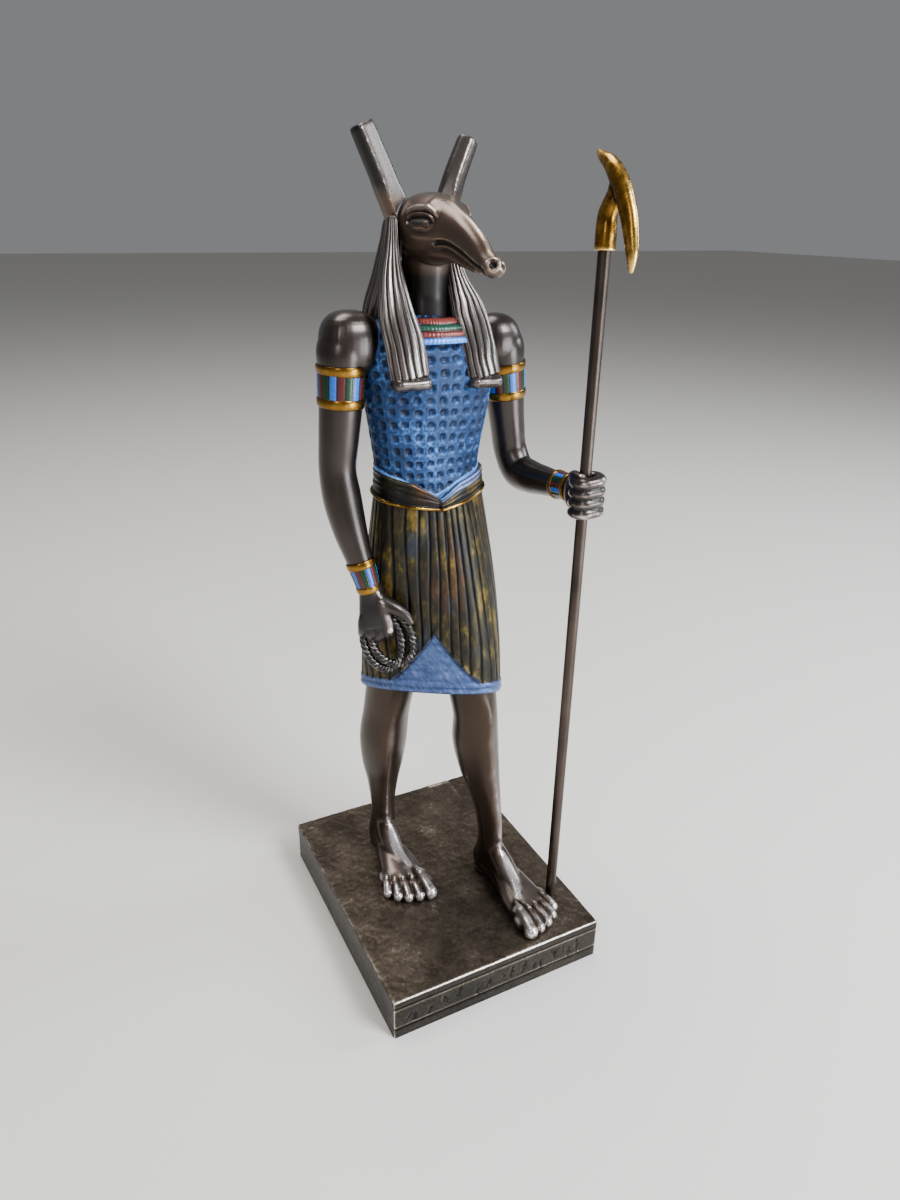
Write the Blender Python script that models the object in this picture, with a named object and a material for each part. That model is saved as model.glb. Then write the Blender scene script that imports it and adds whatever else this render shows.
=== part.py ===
"""A cold-cast figurine of the Egyptian god Seth: a striding, kilted man's body with the long-snouted
head of the Seth animal, on an oblong plinth, with a rope coil in the right hand and a staff in the left.

Run it with blender --background --python part.py, or from Blender's text editor.
Metres, +Z up. The figure faces -Y, and its left hand is at +X.
The origin is the middle of the plinth's underside.

The figure's free forms are written in figure units: 264.5 of them are the height from sole to crown.
Heights among them are counted from the plinth's top.
"""

import math

import bmesh
import bpy
import numpy as np
from mathutils import Vector

# The figure
FIGURE_HEIGHT = 0.2645  # sole to crown; the ears stand higher
UNITS_TALL = 264.5
U = FIGURE_HEIGHT / UNITS_TALL  # one figure unit, in metres

# The plinth, which reaches past the staff and the leading toe by its margins
PLINTH_HEIGHT = 0.0178
PLINTH_SIDE_MARGIN = 0.0091
PLINTH_FRONT_MARGIN = 0.0027
PLINTH_BEVEL = 0.0007
GROOVE_WIDTH = 0.0006
GROOVE_DEPTH = 0.0004
GROOVE_TOP_INSET = 0.0034  # from the plinth's top edge down to the upper line
GROOVE_FOOT_INSET = 0.0042  # from the underside up to the lower line
PATCH_WIDTH = 0.0090
PATCH_LENGTH = 0.0120
PATCH_DEPTH = 0.0005
PATCH_EDGE_GAP = 0.0020  # from the plinth's back edge
PATCH_SIDE_GAP = 0.0130  # from the plinth's left-hand edge

# The staff: a rod, and a cast head with a blind sleeve over the rod's end
STAFF_DIAMETER = 0.0040
STAFF_HEIGHT = 0.2750  # above the plinth's top, to the crest's tip
STAFF_HEAD_HEIGHT = 0.0330
SLEEVE_WALL = 0.0009
SLEEVE_BORE_DEPTH = 0.0065
SOCKET_DEPTH = 0.0060
CLEARANCE = 0.0003  # around and under the rod, and under the soles

# Where the fist holds the staff, in figure units
STAFF_X, STAFF_Y, FIST_Z = 35.9, -33.8, 173.6
TOE_TIP_Y = -52.6

# Carving
PLEATS = 32
PLEAT_DEPTH = 0.55  # figure units
STRANDS_BACK = 18
STRANDS_LAPPET = 5

FIGURE_FACES_KEPT = 0.66
ROUND_SEGMENTS = 32  # of the rod, its bores and its socket
SLIVER = 0.0002


def v3(x, y, z):
    return np.array((x, y, z), float)


def smooth_rows(rows, count):
    """Rows of numbers resampled along a smooth curve through them; the first three are a place."""
    rows = np.array(rows, float)
    knots = np.r_[0, np.cumsum(np.linalg.norm(np.diff(rows[:, :3], axis=0), axis=1))]
    slopes = np.gradient(rows, knots, axis=0)
    at = np.linspace(0, knots[-1], count)
    i = np.clip(np.searchsorted(knots, at, side="right") - 1, 0, len(knots) - 2)
    h = (knots[i + 1] - knots[i])[:, None]
    s = ((at - knots[i])[:, None]) / h
    start = (1 + 2 * s) * (1 - s) ** 2 * rows[i] + s * (1 - s) ** 2 * h * slopes[i]
    end = s * s * (3 - 2 * s) * rows[i + 1] + s * s * (s - 1) * h * slopes[i + 1]
    return start + end


def unit(v):
    return v / np.linalg.norm(v)


def ring(centre, side, other, a, b, power, angles, relief=None):
    """A closed superellipse of points; relief is a radial offset for each angle."""
    c, s = np.cos(angles), np.sin(angles)
    r = (np.abs(c) ** power + np.abs(s) ** power) ** (-1 / power)
    out = 0 if relief is None else relief
    across = (a * r + out) * c
    along = (b * r + out) * s
    return centre + np.outer(across, side) + np.outer(along, other)


def mesh_of_rings(name, rings):
    """A closed mesh through rings of equal length, its ends filled with a fan."""
    bm = bmesh.new()
    rows = [[bm.verts.new(p * U) for p in points] for points in rings]
    n = len(rows[0])
    for low, high in zip(rows, rows[1:]):
        for k in range(n):
            bm.faces.new((low[k], low[(k + 1) % n], high[(k + 1) % n], high[k]))
    for row, flip in ((rows[0], True), (rows[-1], False)):
        tip = bm.verts.new(sum((v.co for v in row), Vector()) / n)
        for k in range(n):
            corner = (row[k], row[(k + 1) % n], tip)
            bm.faces.new(corner[::-1] if flip else corner)
    bmesh.ops.recalc_face_normals(bm, faces=bm.faces)
    mesh = bpy.data.meshes.new(name)
    bm.to_mesh(mesh)
    bm.free()
    mesh.shade_smooth()
    return mesh


def sweep(name, rows, segments, rings, side=(1, 0, 0), power=2.0, turn=0.0, tip=None):
    """A limb along rows of (x, y, z, half width, half depth). Width runs along side, depth across it.

    tip rounds the last end off over that length; turn starts the ring at another angle."""
    stations = smooth_rows(rows, rings)
    tangents = np.gradient(stations[:, :3], axis=0)
    angles = 2 * math.pi * np.arange(segments) / segments + turn
    out = []
    for row, tangent in zip(stations, tangents):
        t = unit(tangent)
        s = unit(np.array(side, float) - np.dot(side, t) * t)
        out.append((row[:3], s, np.cross(t, s), row[3], row[4], t))
    points = [ring(c, s, o, a, b, power, angles) for c, s, o, a, b, _ in out]
    if tip:
        c, s, o, a, b, t = out[-1]
        for share in (0.5, 0.85):
            shrink = math.sqrt(1 - share**2)
            points.append(ring(c + t * tip * share, s, o, a * shrink, b * shrink, power, angles))
    return mesh_of_rings(name, points)


def ball(name, centre, radii, segments=16, rings=9):
    """An ellipsoid with its poles up and down."""
    angles = 2 * math.pi * np.arange(segments) / segments
    points = []
    for k in range(1, rings):
        polar = math.pi * k / rings
        level = v3(*centre) + v3(0, 0, -radii[2] * math.cos(polar))
        wide = math.sin(polar)
        points.append(ring(level, v3(1, 0, 0), v3(0, 1, 0), radii[0] * wide, radii[1] * wide, 2, angles))
    return mesh_of_rings(name, points)


def capsule(name, places, radii, segments=10, rings=6):
    """A finger, toe or rope end: a tube through places with both ends rounded."""
    first, last = v3(*places[0]), v3(*places[-1])
    out = unit(first - v3(*places[1]))
    on = unit(last - v3(*places[-2]))
    rows = [(*(first + out * radii[0] * 0.8), radii[0] * 0.5, radii[0] * 0.5)]
    rows += [(*p, r, r) for p, r in zip(places, radii)]
    rows.append((*(last + on * radii[-1] * 0.8), radii[-1] * 0.5, radii[-1] * 0.5))
    side = (0, 0, 1) if abs(on[2]) < 0.8 else (1, 0, 0)
    return sweep(name, rows, segments, rings, side)


# The torso under its scaled corselet, from inside the kilt to the neck
TORSO = (
    (-1.2, 9.0, 150, 19.5, 13.5),
    (-1.4, 9.4, 166, 18.6, 12.4),
    (-1.5, 9.8, 176, 18.7, 12.0),
    (-1.3, 10.2, 189, 20.6, 12.7),
    (-0.8, 10.8, 200, 22.6, 13.5),
    (-0.5, 11.3, 210, 23.8, 13.8),
    (-0.5, 12.0, 218, 24.4, 13.0),
    (-0.5, 12.6, 224, 21.5, 11.2),
    (-0.3, 13.0, 229, 13.5, 9.6),
    (-0.3, 13.0, 234, 8.6, 8.2),
    (-0.6, 12.0, 240, 7.6, 7.8),
    (-1.0, 10.5, 248, 7.4, 7.8),
)
COLLAR = ((0, 11.6, 228, 10, 9.8), (0, 11.6, 225.8, 11.8, 11.5), (0, 11.5, 223, 14.0, 13.2), (0, 11.3, 219.6, 16.5, 14.2))

# The head: a skull that runs out into a drooping snout
HEAD = (
    (-1.3, 19.5, 254, 6.0, 5.5),
    (-1.3, 15.5, 254, 9.3, 9.2),
    (-1.3, 9.0, 254.2, 10.8, 10.4),
    (-1.3, 2.0, 254.4, 10.2, 9.8),
    (-1.3, -4.5, 254.0, 7.8, 8.0),
    (-1.3, -11.5, 252.6, 5.2, 6.0),
    (-1.3, -18.5, 250.4, 3.9, 5.2),
    (-1.3, -24.5, 248.0, 3.3, 4.4),
    (-1.3, -29.5, 246.0, 3.0, 3.2),
    (-1.3, -33.0, 244.8, 3.2, 2.8),
)
SNOUT_TIP = 3.2
JAW = ((-1.3, 4.0, 248.5, 7.0, 5.2), (-1.3, -4, 247.4, 6.2, 3.6), (-1.3, -13, 246.2, 4.4, 2.6), (-1.3, -21, 243.9, 3.0, 1.7), (-1.3, -25.5, 242.8, 2.3, 1.3))
EAR_R = ((-9.2, 13.5, 256.5, 4.1, 3.4), (-13.2, 14.3, 266.2, 4.1, 3.5), (-20.7, 16.0, 283.1, 3.8, 3.4))
EAR_L = ((6.6, 13.5, 258.0, 3.6, 2.9), (9.2, 14.4, 265.5, 3.7, 3.2), (16.9, 17.4, 280.6, 3.4, 3.1))

# The wig: a cap that flares over the shoulders, and a lappet on each side of the chest
WIG = (
    (-1.0, 15.0, 262.0, 7.6, 6.6),
    (-1.0, 15.2, 258.0, 11.2, 9.2),
    (-1.2, 15.6, 250.0, 13.2, 10.6),
    (-1.2, 16.6, 240.0, 15.9, 11.2),
    (-0.6, 19.0, 230.0, 19.2, 10.4),
    (0, 21.4, 221.0, 19.0, 7.6),
    (0, 22.6, 210.0, 16.6, 5.6),
    (0, 22.4, 203.5, 15.8, 5.2),
)
LAPPET_R = (
    (-14.1, 9.5, 256.0, 1.6, 2.4),
    (-15.6, 7.2, 245.0, 2.8, 3.4),
    (-16.5, 4.4, 238.0, 4.1, 4.0),
    (-16.3, 1.4, 229.0, 5.5, 4.2),
    (-14.0, -0.4, 219.0, 6.3, 4.0),
    (-12.7, -1.4, 210.0, 6.4, 3.6),
)
LAPPET_L = (
    (6.8, 8.6, 246.0, 2.2, 2.6),
    (7.8, 7.0, 239.0, 3.2, 3.4),
    (10.2, 3.6, 230.0, 5.4, 4.0),
    (12.6, 0.6, 218.5, 5.9, 4.0),
    (14.6, -0.8, 209.0, 5.9, 3.6),
)
BAND_TALL = 4.4  # the roll across a lappet's end

# The kilt: centre, height, half length and half depth of its plan, and the plan's turn in degrees
KILT = (
    (-1.2, 9.4, 173.0, 19.0, 12.4, 0),
    (-0.9, 9.2, 160.0, 20.8, 14.0, -6),
    (-0.6, 8.8, 145.0, 22.9, 15.2, -14),
    (-0.3, 8.4, 125.0, 25.2, 16.0, -24),
    (0, 8.0, 105.0, 26.7, 15.8, -32),
    (0, 8.0, 92.5, 27.4, 15.4, -36),
    (0, 8.0, 88.0, 27.6, 15.3, -37),
)
HEM_TALL = 4.4
HEM_PROUD = 0.5
HEM_RISE = 0.34  # rise of the hem for each unit towards the figure's front right
ARM_R = (
    (-27.0, 12.0, 223.5, 6.5, 7.0),
    (-30.4, 12.0, 219.0, 8.2, 8.6),
    (-31.6, 12.0, 211.0, 7.6, 8.2),
    (-32.4, 12.0, 200.0, 7.0, 7.4),
    (-33.2, 12.4, 189.0, 6.6, 7.0),
    (-33.7, 12.8, 178.0, 6.4, 6.8),
    (-33.0, 11.6, 169.0, 6.7, 7.0),
    (-31.6, 8.8, 158.0, 6.0, 6.4),
    (-29.5, 5.4, 147.0, 4.7, 5.0),
    (-27.6, 3.0, 137.5, 3.7, 4.3),
    (-27.0, 2.0, 132.0, 3.5, 4.6),
)
ARM_L = (
    (26.0, 12.0, 222.0, 6.5, 7.0),
    (28.0, 12.0, 217.5, 8.0, 8.6),
    (29.6, 12.0, 209.0, 7.4, 8.2),
    (31.2, 12.0, 198.0, 6.7, 7.4),
    (32.8, 12.0, 187.0, 6.1, 7.0),
    (34.2, 11.6, 178.5, 5.9, 6.8),
    (35.4, 7.2, 171.8, 5.9, 6.6),
    (36.4, 0.0, 170.9, 5.9, 6.0),
    (37.0, -8.0, 171.5, 5.0, 5.3),
    (37.3, -15.0, 172.2, 4.2, 4.7),
    (37.5, -22.0, 173.0, 3.8, 4.5),
    (37.4, -27.5, 173.5, 4.0, 5.0),
)
SHOULDERS = (
    ("shoulder_right", (-28.0, 12.4, 220.0), (9.9, 9.2, 10.2)),
    ("shoulder_left", (26.0, 12.0, 218.2), (8.7, 8.8, 9.4)),
)
LEG_L = (
    (9.0, 7.0, 130, 11.5, 12.0),
    (12.0, 3.2, 106, 11.0, 12.0),
    (14.0, -0.4, 88, 9.4, 10.2),
    (15.0, -2.4, 77, 8.9, 9.8),
    (15.6, -2.2, 64, 9.2, 10.6),
    (16.8, -4.0, 52, 8.2, 9.4),
    (18.2, -6.8, 41, 6.4, 7.6),
    (19.2, -8.8, 31, 5.3, 6.4),
    (19.8, -9.9, 21, 5.0, 6.2),
    (20.0, -9.6, 12, 5.6, 7.2),
    (20.0, -8.0, 4, 5.7, 7.4),
    (20.0, -8.0, -1.5, 5.2, 6.8),
)
LEG_R = (
    (-9.0, 9.0, 130, 11.5, 12.0),
    (-12.0, 13.0, 106, 11.0, 12.0),
    (-13.8, 16.2, 88, 9.6, 10.2),
    (-14.8, 18.4, 75, 9.3, 9.8),
    (-15.4, 21.0, 60, 9.6, 10.6),
    (-15.4, 22.4, 48, 8.4, 9.4),
    (-15.0, 23.6, 38, 6.6, 7.6),
    (-14.6, 24.8, 28, 5.4, 6.4),
    (-14.3, 25.6, 20, 5.0, 6.2),
    (-14.0, 26.6, 12, 5.6, 7.2),
    (-14.0, 28.4, 4, 5.7, 7.4),
    (-14.0, 28.4, -1.5, 5.2, 6.8),
)

# A left foot with its ankle at the origin, pointing along -Y, and its toes from the big one out
FOOT = (
    (0, 5.0, 6.0, 4.8, 5.8),
    (0.1, -2.0, 6.6, 5.2, 6.4),
    (0.2, -9.0, 5.6, 5.8, 5.4),
    (0.0, -16.0, 4.8, 7.0, 4.7),
    (-0.6, -23.0, 3.9, 8.3, 3.8),
    (-1.0, -29.0, 3.2, 8.3, 3.1),
)
INSTEP = ((0, 1.5, 17.0, 4.4), (0.1, -4.0, 13.2, 4.7), (0.1, -9.5, 9.4, 4.9), (-0.3, -16.0, 6.2, 4.5), (-1.2, -23.0, 4.2, 3.6))
TOES = (
    # across and along at the root, the same at the tip, and the radius, from the big toe out
    (-6.7, -29.5, -8.2, -42.0, 2.75),
    (-2.9, -30.5, -3.6, -41.2, 2.1),
    (0.8, -29.8, 1.0, -40.3, 2.0),
    (4.0, -28.4, 4.9, -38.2, 1.95),
    (6.9, -26.6, 8.4, -34.8, 1.9),
)
FOOT_TURN = 6.0  # degrees outward
ANKLE_L = (19.9, -10.2)
ANKLE_R = (-14.0, 26.3)


def feet():
    """Both feet with their toes; they run a little below the soles, which are then cut flat."""
    made = []
    for name, ankle, sign in (("left", ANKLE_L, 1), ("right", ANKLE_R, -1)):
        angle = math.radians(FOOT_TURN) * sign

        def place(x, y, z, angle=angle, ankle=ankle, sign=sign):
            x *= sign
            return (
                ankle[0] + x * math.cos(angle) - y * math.sin(angle),
                ankle[1] + x * math.sin(angle) + y * math.cos(angle),
                z,
            )

        rows = [(*place(*row[:3]), *row[3:]) for row in FOOT]
        made.append(sweep(f"foot_{name}", rows, 12, 8, tip=1.5))
        made.append(capsule(f"instep_{name}", [place(*row[:3]) for row in INSTEP], [row[3] for row in INSTEP], 10, 7))
        for k, (x, y, tip_x, tip_y, radius) in enumerate(TOES):
            places = [
                place(x, y, radius + 1.5),
                place((x + tip_x) / 2, (y + tip_y) / 2, radius + 1.2),
                place(tip_x, tip_y + radius * 0.8, radius * 0.9),
            ]
            made.append(capsule(f"toe_{name}_{k}", places, (radius, radius * 0.94, radius), 7, 5))
    return made


def ears():
    """Tall square-ended ears with a ridge down the front."""
    return [
        sweep(name, rows, 8, 6, power=1.25, turn=0)
        for name, rows in (("ear_right", EAR_R), ("ear_left", EAR_L))
    ]


def strands(angles, count, depth):
    """A radial offset that cuts grooves between strands of hair."""
    return depth * (np.abs(np.cos(angles * count / 2)) - 1)


def wig():
    """The cap and back of the wig, both lappets and the rolls across their ends."""
    segments = STRANDS_BACK * 2
    angles = 2 * math.pi * np.arange(segments) / segments
    rows = smooth_rows(WIG, 9)
    relief = strands(angles, STRANDS_BACK, 0.5)
    cap = [ring(r[:3], v3(1, 0, 0), v3(0, 1, 0), r[3], r[4], 2.2, angles, relief) for r in rows]
    made = [mesh_of_rings("wig_cap", cap)]
    for name, path in (("right", LAPPET_R), ("left", LAPPET_L)):
        made.append(lappet(f"lappet_{name}", path))
        low = path[-1]
        roll = [(low[0] - low[3] - 0.2, low[1], low[2] - BAND_TALL / 2), (low[0] + low[3] + 0.2, low[1], low[2] - BAND_TALL / 2)]
        ends = [(*roll[0], BAND_TALL * 0.62, low[4] + 0.5), (*roll[1], BAND_TALL * 0.62, low[4] + 0.5)]
        made.append(sweep(f"roll_{name}", ends, 12, 3, side=(0, 0, 1), power=2.6))
    return made


def lappet(name, path):
    """A flat lock with grooves down its front."""
    segments = STRANDS_LAPPET * 4
    angles = 2 * math.pi * (np.arange(segments) + 0.5) / segments
    rows = smooth_rows(path, 8)
    grooves = -0.45 * (np.arange(segments) % 2)
    rings = [ring(r[:3], v3(1, 0, 0), v3(0, 1, 0), r[3], r[4], 2.8, angles, grooves) for r in rows]
    return mesh_of_rings(name, rings)


def kilt_ring(row, angles, relief):
    turn = math.radians(row[5])
    side = v3(math.cos(turn), math.sin(turn), 0)
    return ring(row[:3], side, v3(-side[1], side[0], 0), row[3], row[4], 2.35, angles, relief)


def tilted(points, weight):
    """Points raised towards the figure's front right, as the hem is."""
    towards = -0.5 * points[:, 0] - 0.866 * (points[:, 1] - 8.0)
    points[:, 2] += HEM_RISE * np.maximum(towards, 0) * weight
    return points


def kilt():
    """A pleated kilt with a plain hem band that stands a little proud."""
    segments = PLEATS * 2
    angles = 2 * math.pi * np.arange(segments) / segments
    pleats = np.where(np.arange(segments) % 2, -PLEAT_DEPTH, 0.0)
    rows = smooth_rows(KILT, 8)
    foot = rows[-1][2]
    rings = []
    for row in rows[:-1]:
        share = np.clip((160 - row[2]) / (160 - foot), 0, 1)
        rings.append(tilted(kilt_ring(row, angles, pleats), share))
    for level, proud in ((HEM_TALL + 0.5, -0.1), (HEM_TALL, HEM_PROUD), (0, HEM_PROUD)):
        row = rows[-1].copy()
        row[2] = foot + level
        rings.append(tilted(kilt_ring(row, angles, np.full(segments, proud)), 1.0))
    rings = [r for r in rings if r[:, 2].mean() > foot + HEM_TALL + 0.6] + rings[-3:]
    return mesh_of_rings("kilt", rings)


SASH_THICK = 1.5
# Heights of the sash's edges, by degrees from the front
SASH_TOP = ((-180, 177.0), (-85, 177.6), (-45, 174.6), (-6, 168.6), (26, 173.4), (73, 176.6))
SASH_LOW = ((-180, 170.5), (-85, 167.6), (-45, 165.8), (-22, 165.0), (-4, 164.6), (30, 165.8), (70, 168.6))


def sash():
    """The belt: a band round the waist that dips to a point at the front."""
    count = 32
    rows = []
    for k in range(count + 1):
        angle = 2 * math.pi * k / count
        c, s = math.cos(angle), math.sin(angle)
        bearing = math.degrees(angle) + 90
        top, low = (float(np.interp(bearing, *zip(*marks), period=360)) for marks in (SASH_TOP, SASH_LOW))
        rows.append((c * 18.6 - 1.3, s * 12.4 + 9.5, (top + low) / 2, (top - low) / 2))
    angles = 2 * math.pi * np.arange(6) / 6
    rings = []
    for k in range(count):
        x, y, z, half = rows[k]
        outward = unit(v3(x + 1.3, (y - 9.5) * 2.2, 0))
        rings.append(ring(v3(x, y, z), outward, v3(0, 0, 1), SASH_THICK, half, 3.0, angles))
    return closed_loop("sash", rings)


def closed_loop(name, rings):
    """A ring-shaped mesh: the last ring joins the first."""
    bm = bmesh.new()
    rows = [[bm.verts.new(p * U) for p in points] for points in rings]
    n = len(rows[0])
    for low, high in zip(rows, rows[1:] + rows[:1]):
        for k in range(n):
            bm.faces.new((low[k], low[(k + 1) % n], high[(k + 1) % n], high[k]))
    bmesh.ops.recalc_face_normals(bm, faces=bm.faces)
    mesh = bpy.data.meshes.new(name)
    bm.to_mesh(mesh)
    bm.free()
    mesh.shade_smooth()
    return mesh


# Bands: the arm they sit on, the shares of its length they span, how far they stand out, the rims' height
BANDS = (
    ("armlet_right", ARM_R, 213.4, 200.0, 0.5, 2.9),
    ("armlet_left", ARM_L, 211.0, 198.6, 0.4, 2.8),
    ("bracelet_right", ARM_R, 147.0, 135.4, 0.9, 2.7),
)
BRACELET_L = (-15.8, -24.6)


def band(name, path, top, foot, proud, rim):
    """An armlet: a rim at each edge and a flat zone between them."""
    rows = smooth_rows(path, 200)
    levels = ((top, proud), (top - rim, proud), (top - rim, 0.2), (foot + rim, 0.2), (foot + rim, proud), (foot, proud))
    angles = 2 * math.pi * np.arange(14) / 14
    rings = []
    for k, (z, out) in enumerate(levels):
        i = int(np.argmin(abs(rows[:, 2] - z)))
        t = unit(rows[i + 1, :3] - rows[i - 1, :3])
        nudge = t * (0.15 if k in (2, 4) else 0.0) * (1 if k == 2 else -1)
        side = unit(v3(1, 0, 0) - t[0] * t)
        a, b = rows[i, 3] + 0.5 + out, rows[i, 4] + 0.5 + out
        rings.append(ring(rows[i, :3] + nudge, side, np.cross(t, side), a, b, 2, angles))
    return mesh_of_rings(name, rings)


def bracelet_left():
    """The left bracelet, on the level forearm."""
    rows = smooth_rows(ARM_L, 200)
    start, end = BRACELET_L
    rim, proud = 1.7, 0.8
    angles = 2 * math.pi * np.arange(14) / 14
    rings = []
    for y, out in ((start, proud), (start - rim, proud), (start - rim - 0.2, 0.2), (end + rim + 0.2, 0.2), (end + rim, proud), (end, proud)):
        row = rows[int(np.argmin(abs(rows[:, 1] - y)))]
        rings.append(ring(v3(row[0], y, row[2]), v3(1, 0, 0), v3(0, 0, 1), row[3] + 0.5 + out, row[4] + 0.5 + out, 2, angles))
    return mesh_of_rings("bracelet_left", rings)


FINGER = 2.0  # radius of the fist's fingers
FINGER_PITCH = 3.45


def fist():
    """The left hand round the staff: a palm outside it, four fingers across its front and a thumb."""
    staff = STAFF_DIAMETER / 2 / U + CLEARANCE / U
    reach = staff + FINGER * 0.8
    made = [
        ball("fist_palm", (STAFF_X + 2.6, STAFF_Y + 4.0, FIST_Z), (4.4, 5.4, 6.8), 14, 8),
        ball("fist_heel", (STAFF_X - 0.1, STAFF_Y + 4.4, FIST_Z + 0.3), (3.9, 4.0, 6.6), 12, 7),
    ]
    for k in range(4):
        z = FIST_Z + (1.5 - k) * FINGER_PITCH
        places = []
        for degrees in (35, -5, -45, -85, -125, -165, -200):
            angle = math.radians(degrees)
            wide = reach + (0.5 if degrees in (-45, -125) else 0)
            places.append((STAFF_X + wide * math.cos(angle), STAFF_Y + wide * math.sin(angle), z))
        made.append(capsule(f"fist_finger_{k}", places, [FINGER] * 7, 7, 9))
    thumb = [(STAFF_X - 0.4, STAFF_Y + 5.4, FIST_Z + 4.6), (STAFF_X - 2.6, STAFF_Y + 2.2, FIST_Z + 6.2), (STAFF_X - 2.8, STAFF_Y - 1.8, FIST_Z + 6.3)]
    made.append(capsule("fist_thumb", thumb, (2.4, 2.1, 1.8), 8, 6))
    return made


# The right hand: its back faces forward, so the knuckles run from the little finger in to the index
HAND_WIDE = (0.87, -0.49, 0)
HAND_R = (
    (-27.2, 2.6, 139.0, 3.7, 3.8),
    (-26.8, 1.6, 133.0, 4.6, 3.4),
    (-26.4, 0.4, 127.0, 5.5, 3.2),
    (-26.3, 0.0, 123.5, 5.5, 3.0),
)
KNUCKLES = ((-30.3, 2.4, 120.2), (-27.7, 0.9, 118.7), (-25.0, -0.7, 118.5), (-22.3, -2.3, 120.0))
THUMB_R = ((-26.0, 0.4, 136.0), (-22.6, -2.6, 134.0), (-19.4, -4.7, 131.8), (-16.5, -6.2, 128.6), (-15.0, -7.0, 126.0))


def right_hand():
    """The right hand, hanging with its fingers curled back and up round the rope."""
    made = [sweep("hand_right", HAND_R, 14, 6, side=HAND_WIDE, tip=2.0)]
    for k, (x, y, z) in enumerate(KNUCKLES):
        places = [(x, y - 0.6, z + 4.6), (x + 0.2, y - 0.4, z + 0.6), (x + 0.8, y + 1.8, z - 0.9), (x + 2.2, y + 4.6, z + 1.0)]
        made.append(capsule(f"finger_right_{k}", places, (1.9, 2.0, 1.9, 1.6), 6, 6))
    made.append(capsule("thumb_right", THUMB_R, (2.6, 2.7, 2.3, 2.0, 1.6), 7, 7))
    return made


ROPE = 1.5  # radius
COIL_ALONG = (0.87, -0.49, 0)
COIL_OUT = (-0.49, -0.87, 0)
# The two turns of the coil: middle, half width, half height and lean
COILS = (
    ((-23.6, 0.0, 116.4), 7.0, 11.6, -0.10),
    ((-20.7, -2.0, 117.8), 8.2, 10.6, -0.16),
)


def rope_coil():
    """Two turns of rope that hang from the hand against the kilt."""
    along, out, up = v3(*COIL_ALONG), v3(*COIL_OUT), v3(0, 0, 1)
    count = 20
    sides = 2 * math.pi * np.arange(6) / 6
    made = []
    for turn, (middle, wide, tall, lean) in enumerate(COILS):
        rings = []
        for angle in 2 * math.pi * np.arange(count) / count:
            c, s = math.cos(angle), math.sin(angle)
            centre = v3(*middle) + along * (wide * c + lean * tall * s) + up * tall * s
            outward = unit(along * c / wide + up * s / tall)
            rings.append(ring(centre, outward, out, ROPE, ROPE, 2, sides))
        made.append(closed_loop(f"rope_{turn}", rings))
    return made


def masses():
    """Every form that the casting is fused from, apart from the torso."""
    made = [sweep("collar", COLLAR, 24, 5, power=2.2)]
    made.append(sweep("head", HEAD, 18, 12, tip=SNOUT_TIP))
    made.append(sweep("jaw", JAW, 12, 7, tip=1.2))
    made += ears() + wig()
    made.append(kilt())
    made.append(sash())
    for name, rows, rings in (("arm_right", ARM_R, 12), ("arm_left", ARM_L, 14), ("leg_left", LEG_L, 12), ("leg_right", LEG_R, 12)):
        side = (1, 0, 0)
        made.append(sweep(name, rows, 12, rings, side))
    made += [ball(name, centre, radii, 14, 8) for name, centre, radii in SHOULDERS]
    made += [band(*row) for row in BANDS]
    made.append(bracelet_left())
    made += fist() + right_hand() + rope_coil() + feet()
    return made


def material(name, colour, metallic, roughness):
    made = bpy.data.materials.new(name)
    made.use_nodes = True
    shader = made.node_tree.nodes["Principled BSDF"]
    shader.inputs["Base Color"].default_value = (*colour, 1)
    shader.inputs["Metallic"].default_value = metallic
    shader.inputs["Roughness"].default_value = roughness
    made.diffuse_color = (*colour, 1)
    return made


def place(name, mesh, finish=None, at=(0, 0, 0), collection=None):
    thing = bpy.data.objects.new(name, mesh)
    thing.location = at
    (collection or bpy.context.scene.collection).objects.link(thing)
    if finish:
        mesh.materials.append(finish)
    return thing


def helper(thing):
    thing.hide_render = True
    thing.display_type = "WIRE"
    return thing


def box_mesh(name, low, high):
    bm = bmesh.new()
    bmesh.ops.create_cube(bm, size=1)
    low, high = Vector(low), Vector(high)
    for vert in bm.verts:
        vert.co = Vector(((high[i] - low[i]) * vert.co[i] + (high[i] + low[i]) / 2) for i in range(3))
    mesh = bpy.data.meshes.new(name)
    bm.to_mesh(mesh)
    bm.free()
    return mesh


def rod_mesh(name, radius, low, high):
    bm = bmesh.new()
    bmesh.ops.create_cone(
        bm, cap_ends=True, segments=ROUND_SEGMENTS, radius1=radius, radius2=radius, depth=high - low
    )
    bmesh.ops.translate(bm, verts=bm.verts, vec=(0, 0, (high + low) / 2))
    mesh = bpy.data.meshes.new(name)
    bm.to_mesh(mesh)
    bm.free()
    mesh.shade_smooth()
    mesh.set_sharp_from_angle(angle=math.radians(40))
    return mesh


def boolean(thing, operation, other=None, collection=None):
    modifier = thing.modifiers.new(operation.title(), "BOOLEAN")
    modifier.operation = operation
    modifier.solver = "EXACT"
    if collection:
        modifier.operand_type = "COLLECTION"
        modifier.collection = collection
    else:
        modifier.object = other


def staff_place():
    """Where the staff stands on the plinth, in metres."""
    return STAFF_X * U, STAFF_Y * U


def plinth_size():
    """Half the plinth's width and depth, from what stands on it."""
    return STAFF_X * U + PLINTH_SIDE_MARGIN, -TOE_TIP_Y * U + PLINTH_FRONT_MARGIN


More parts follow.
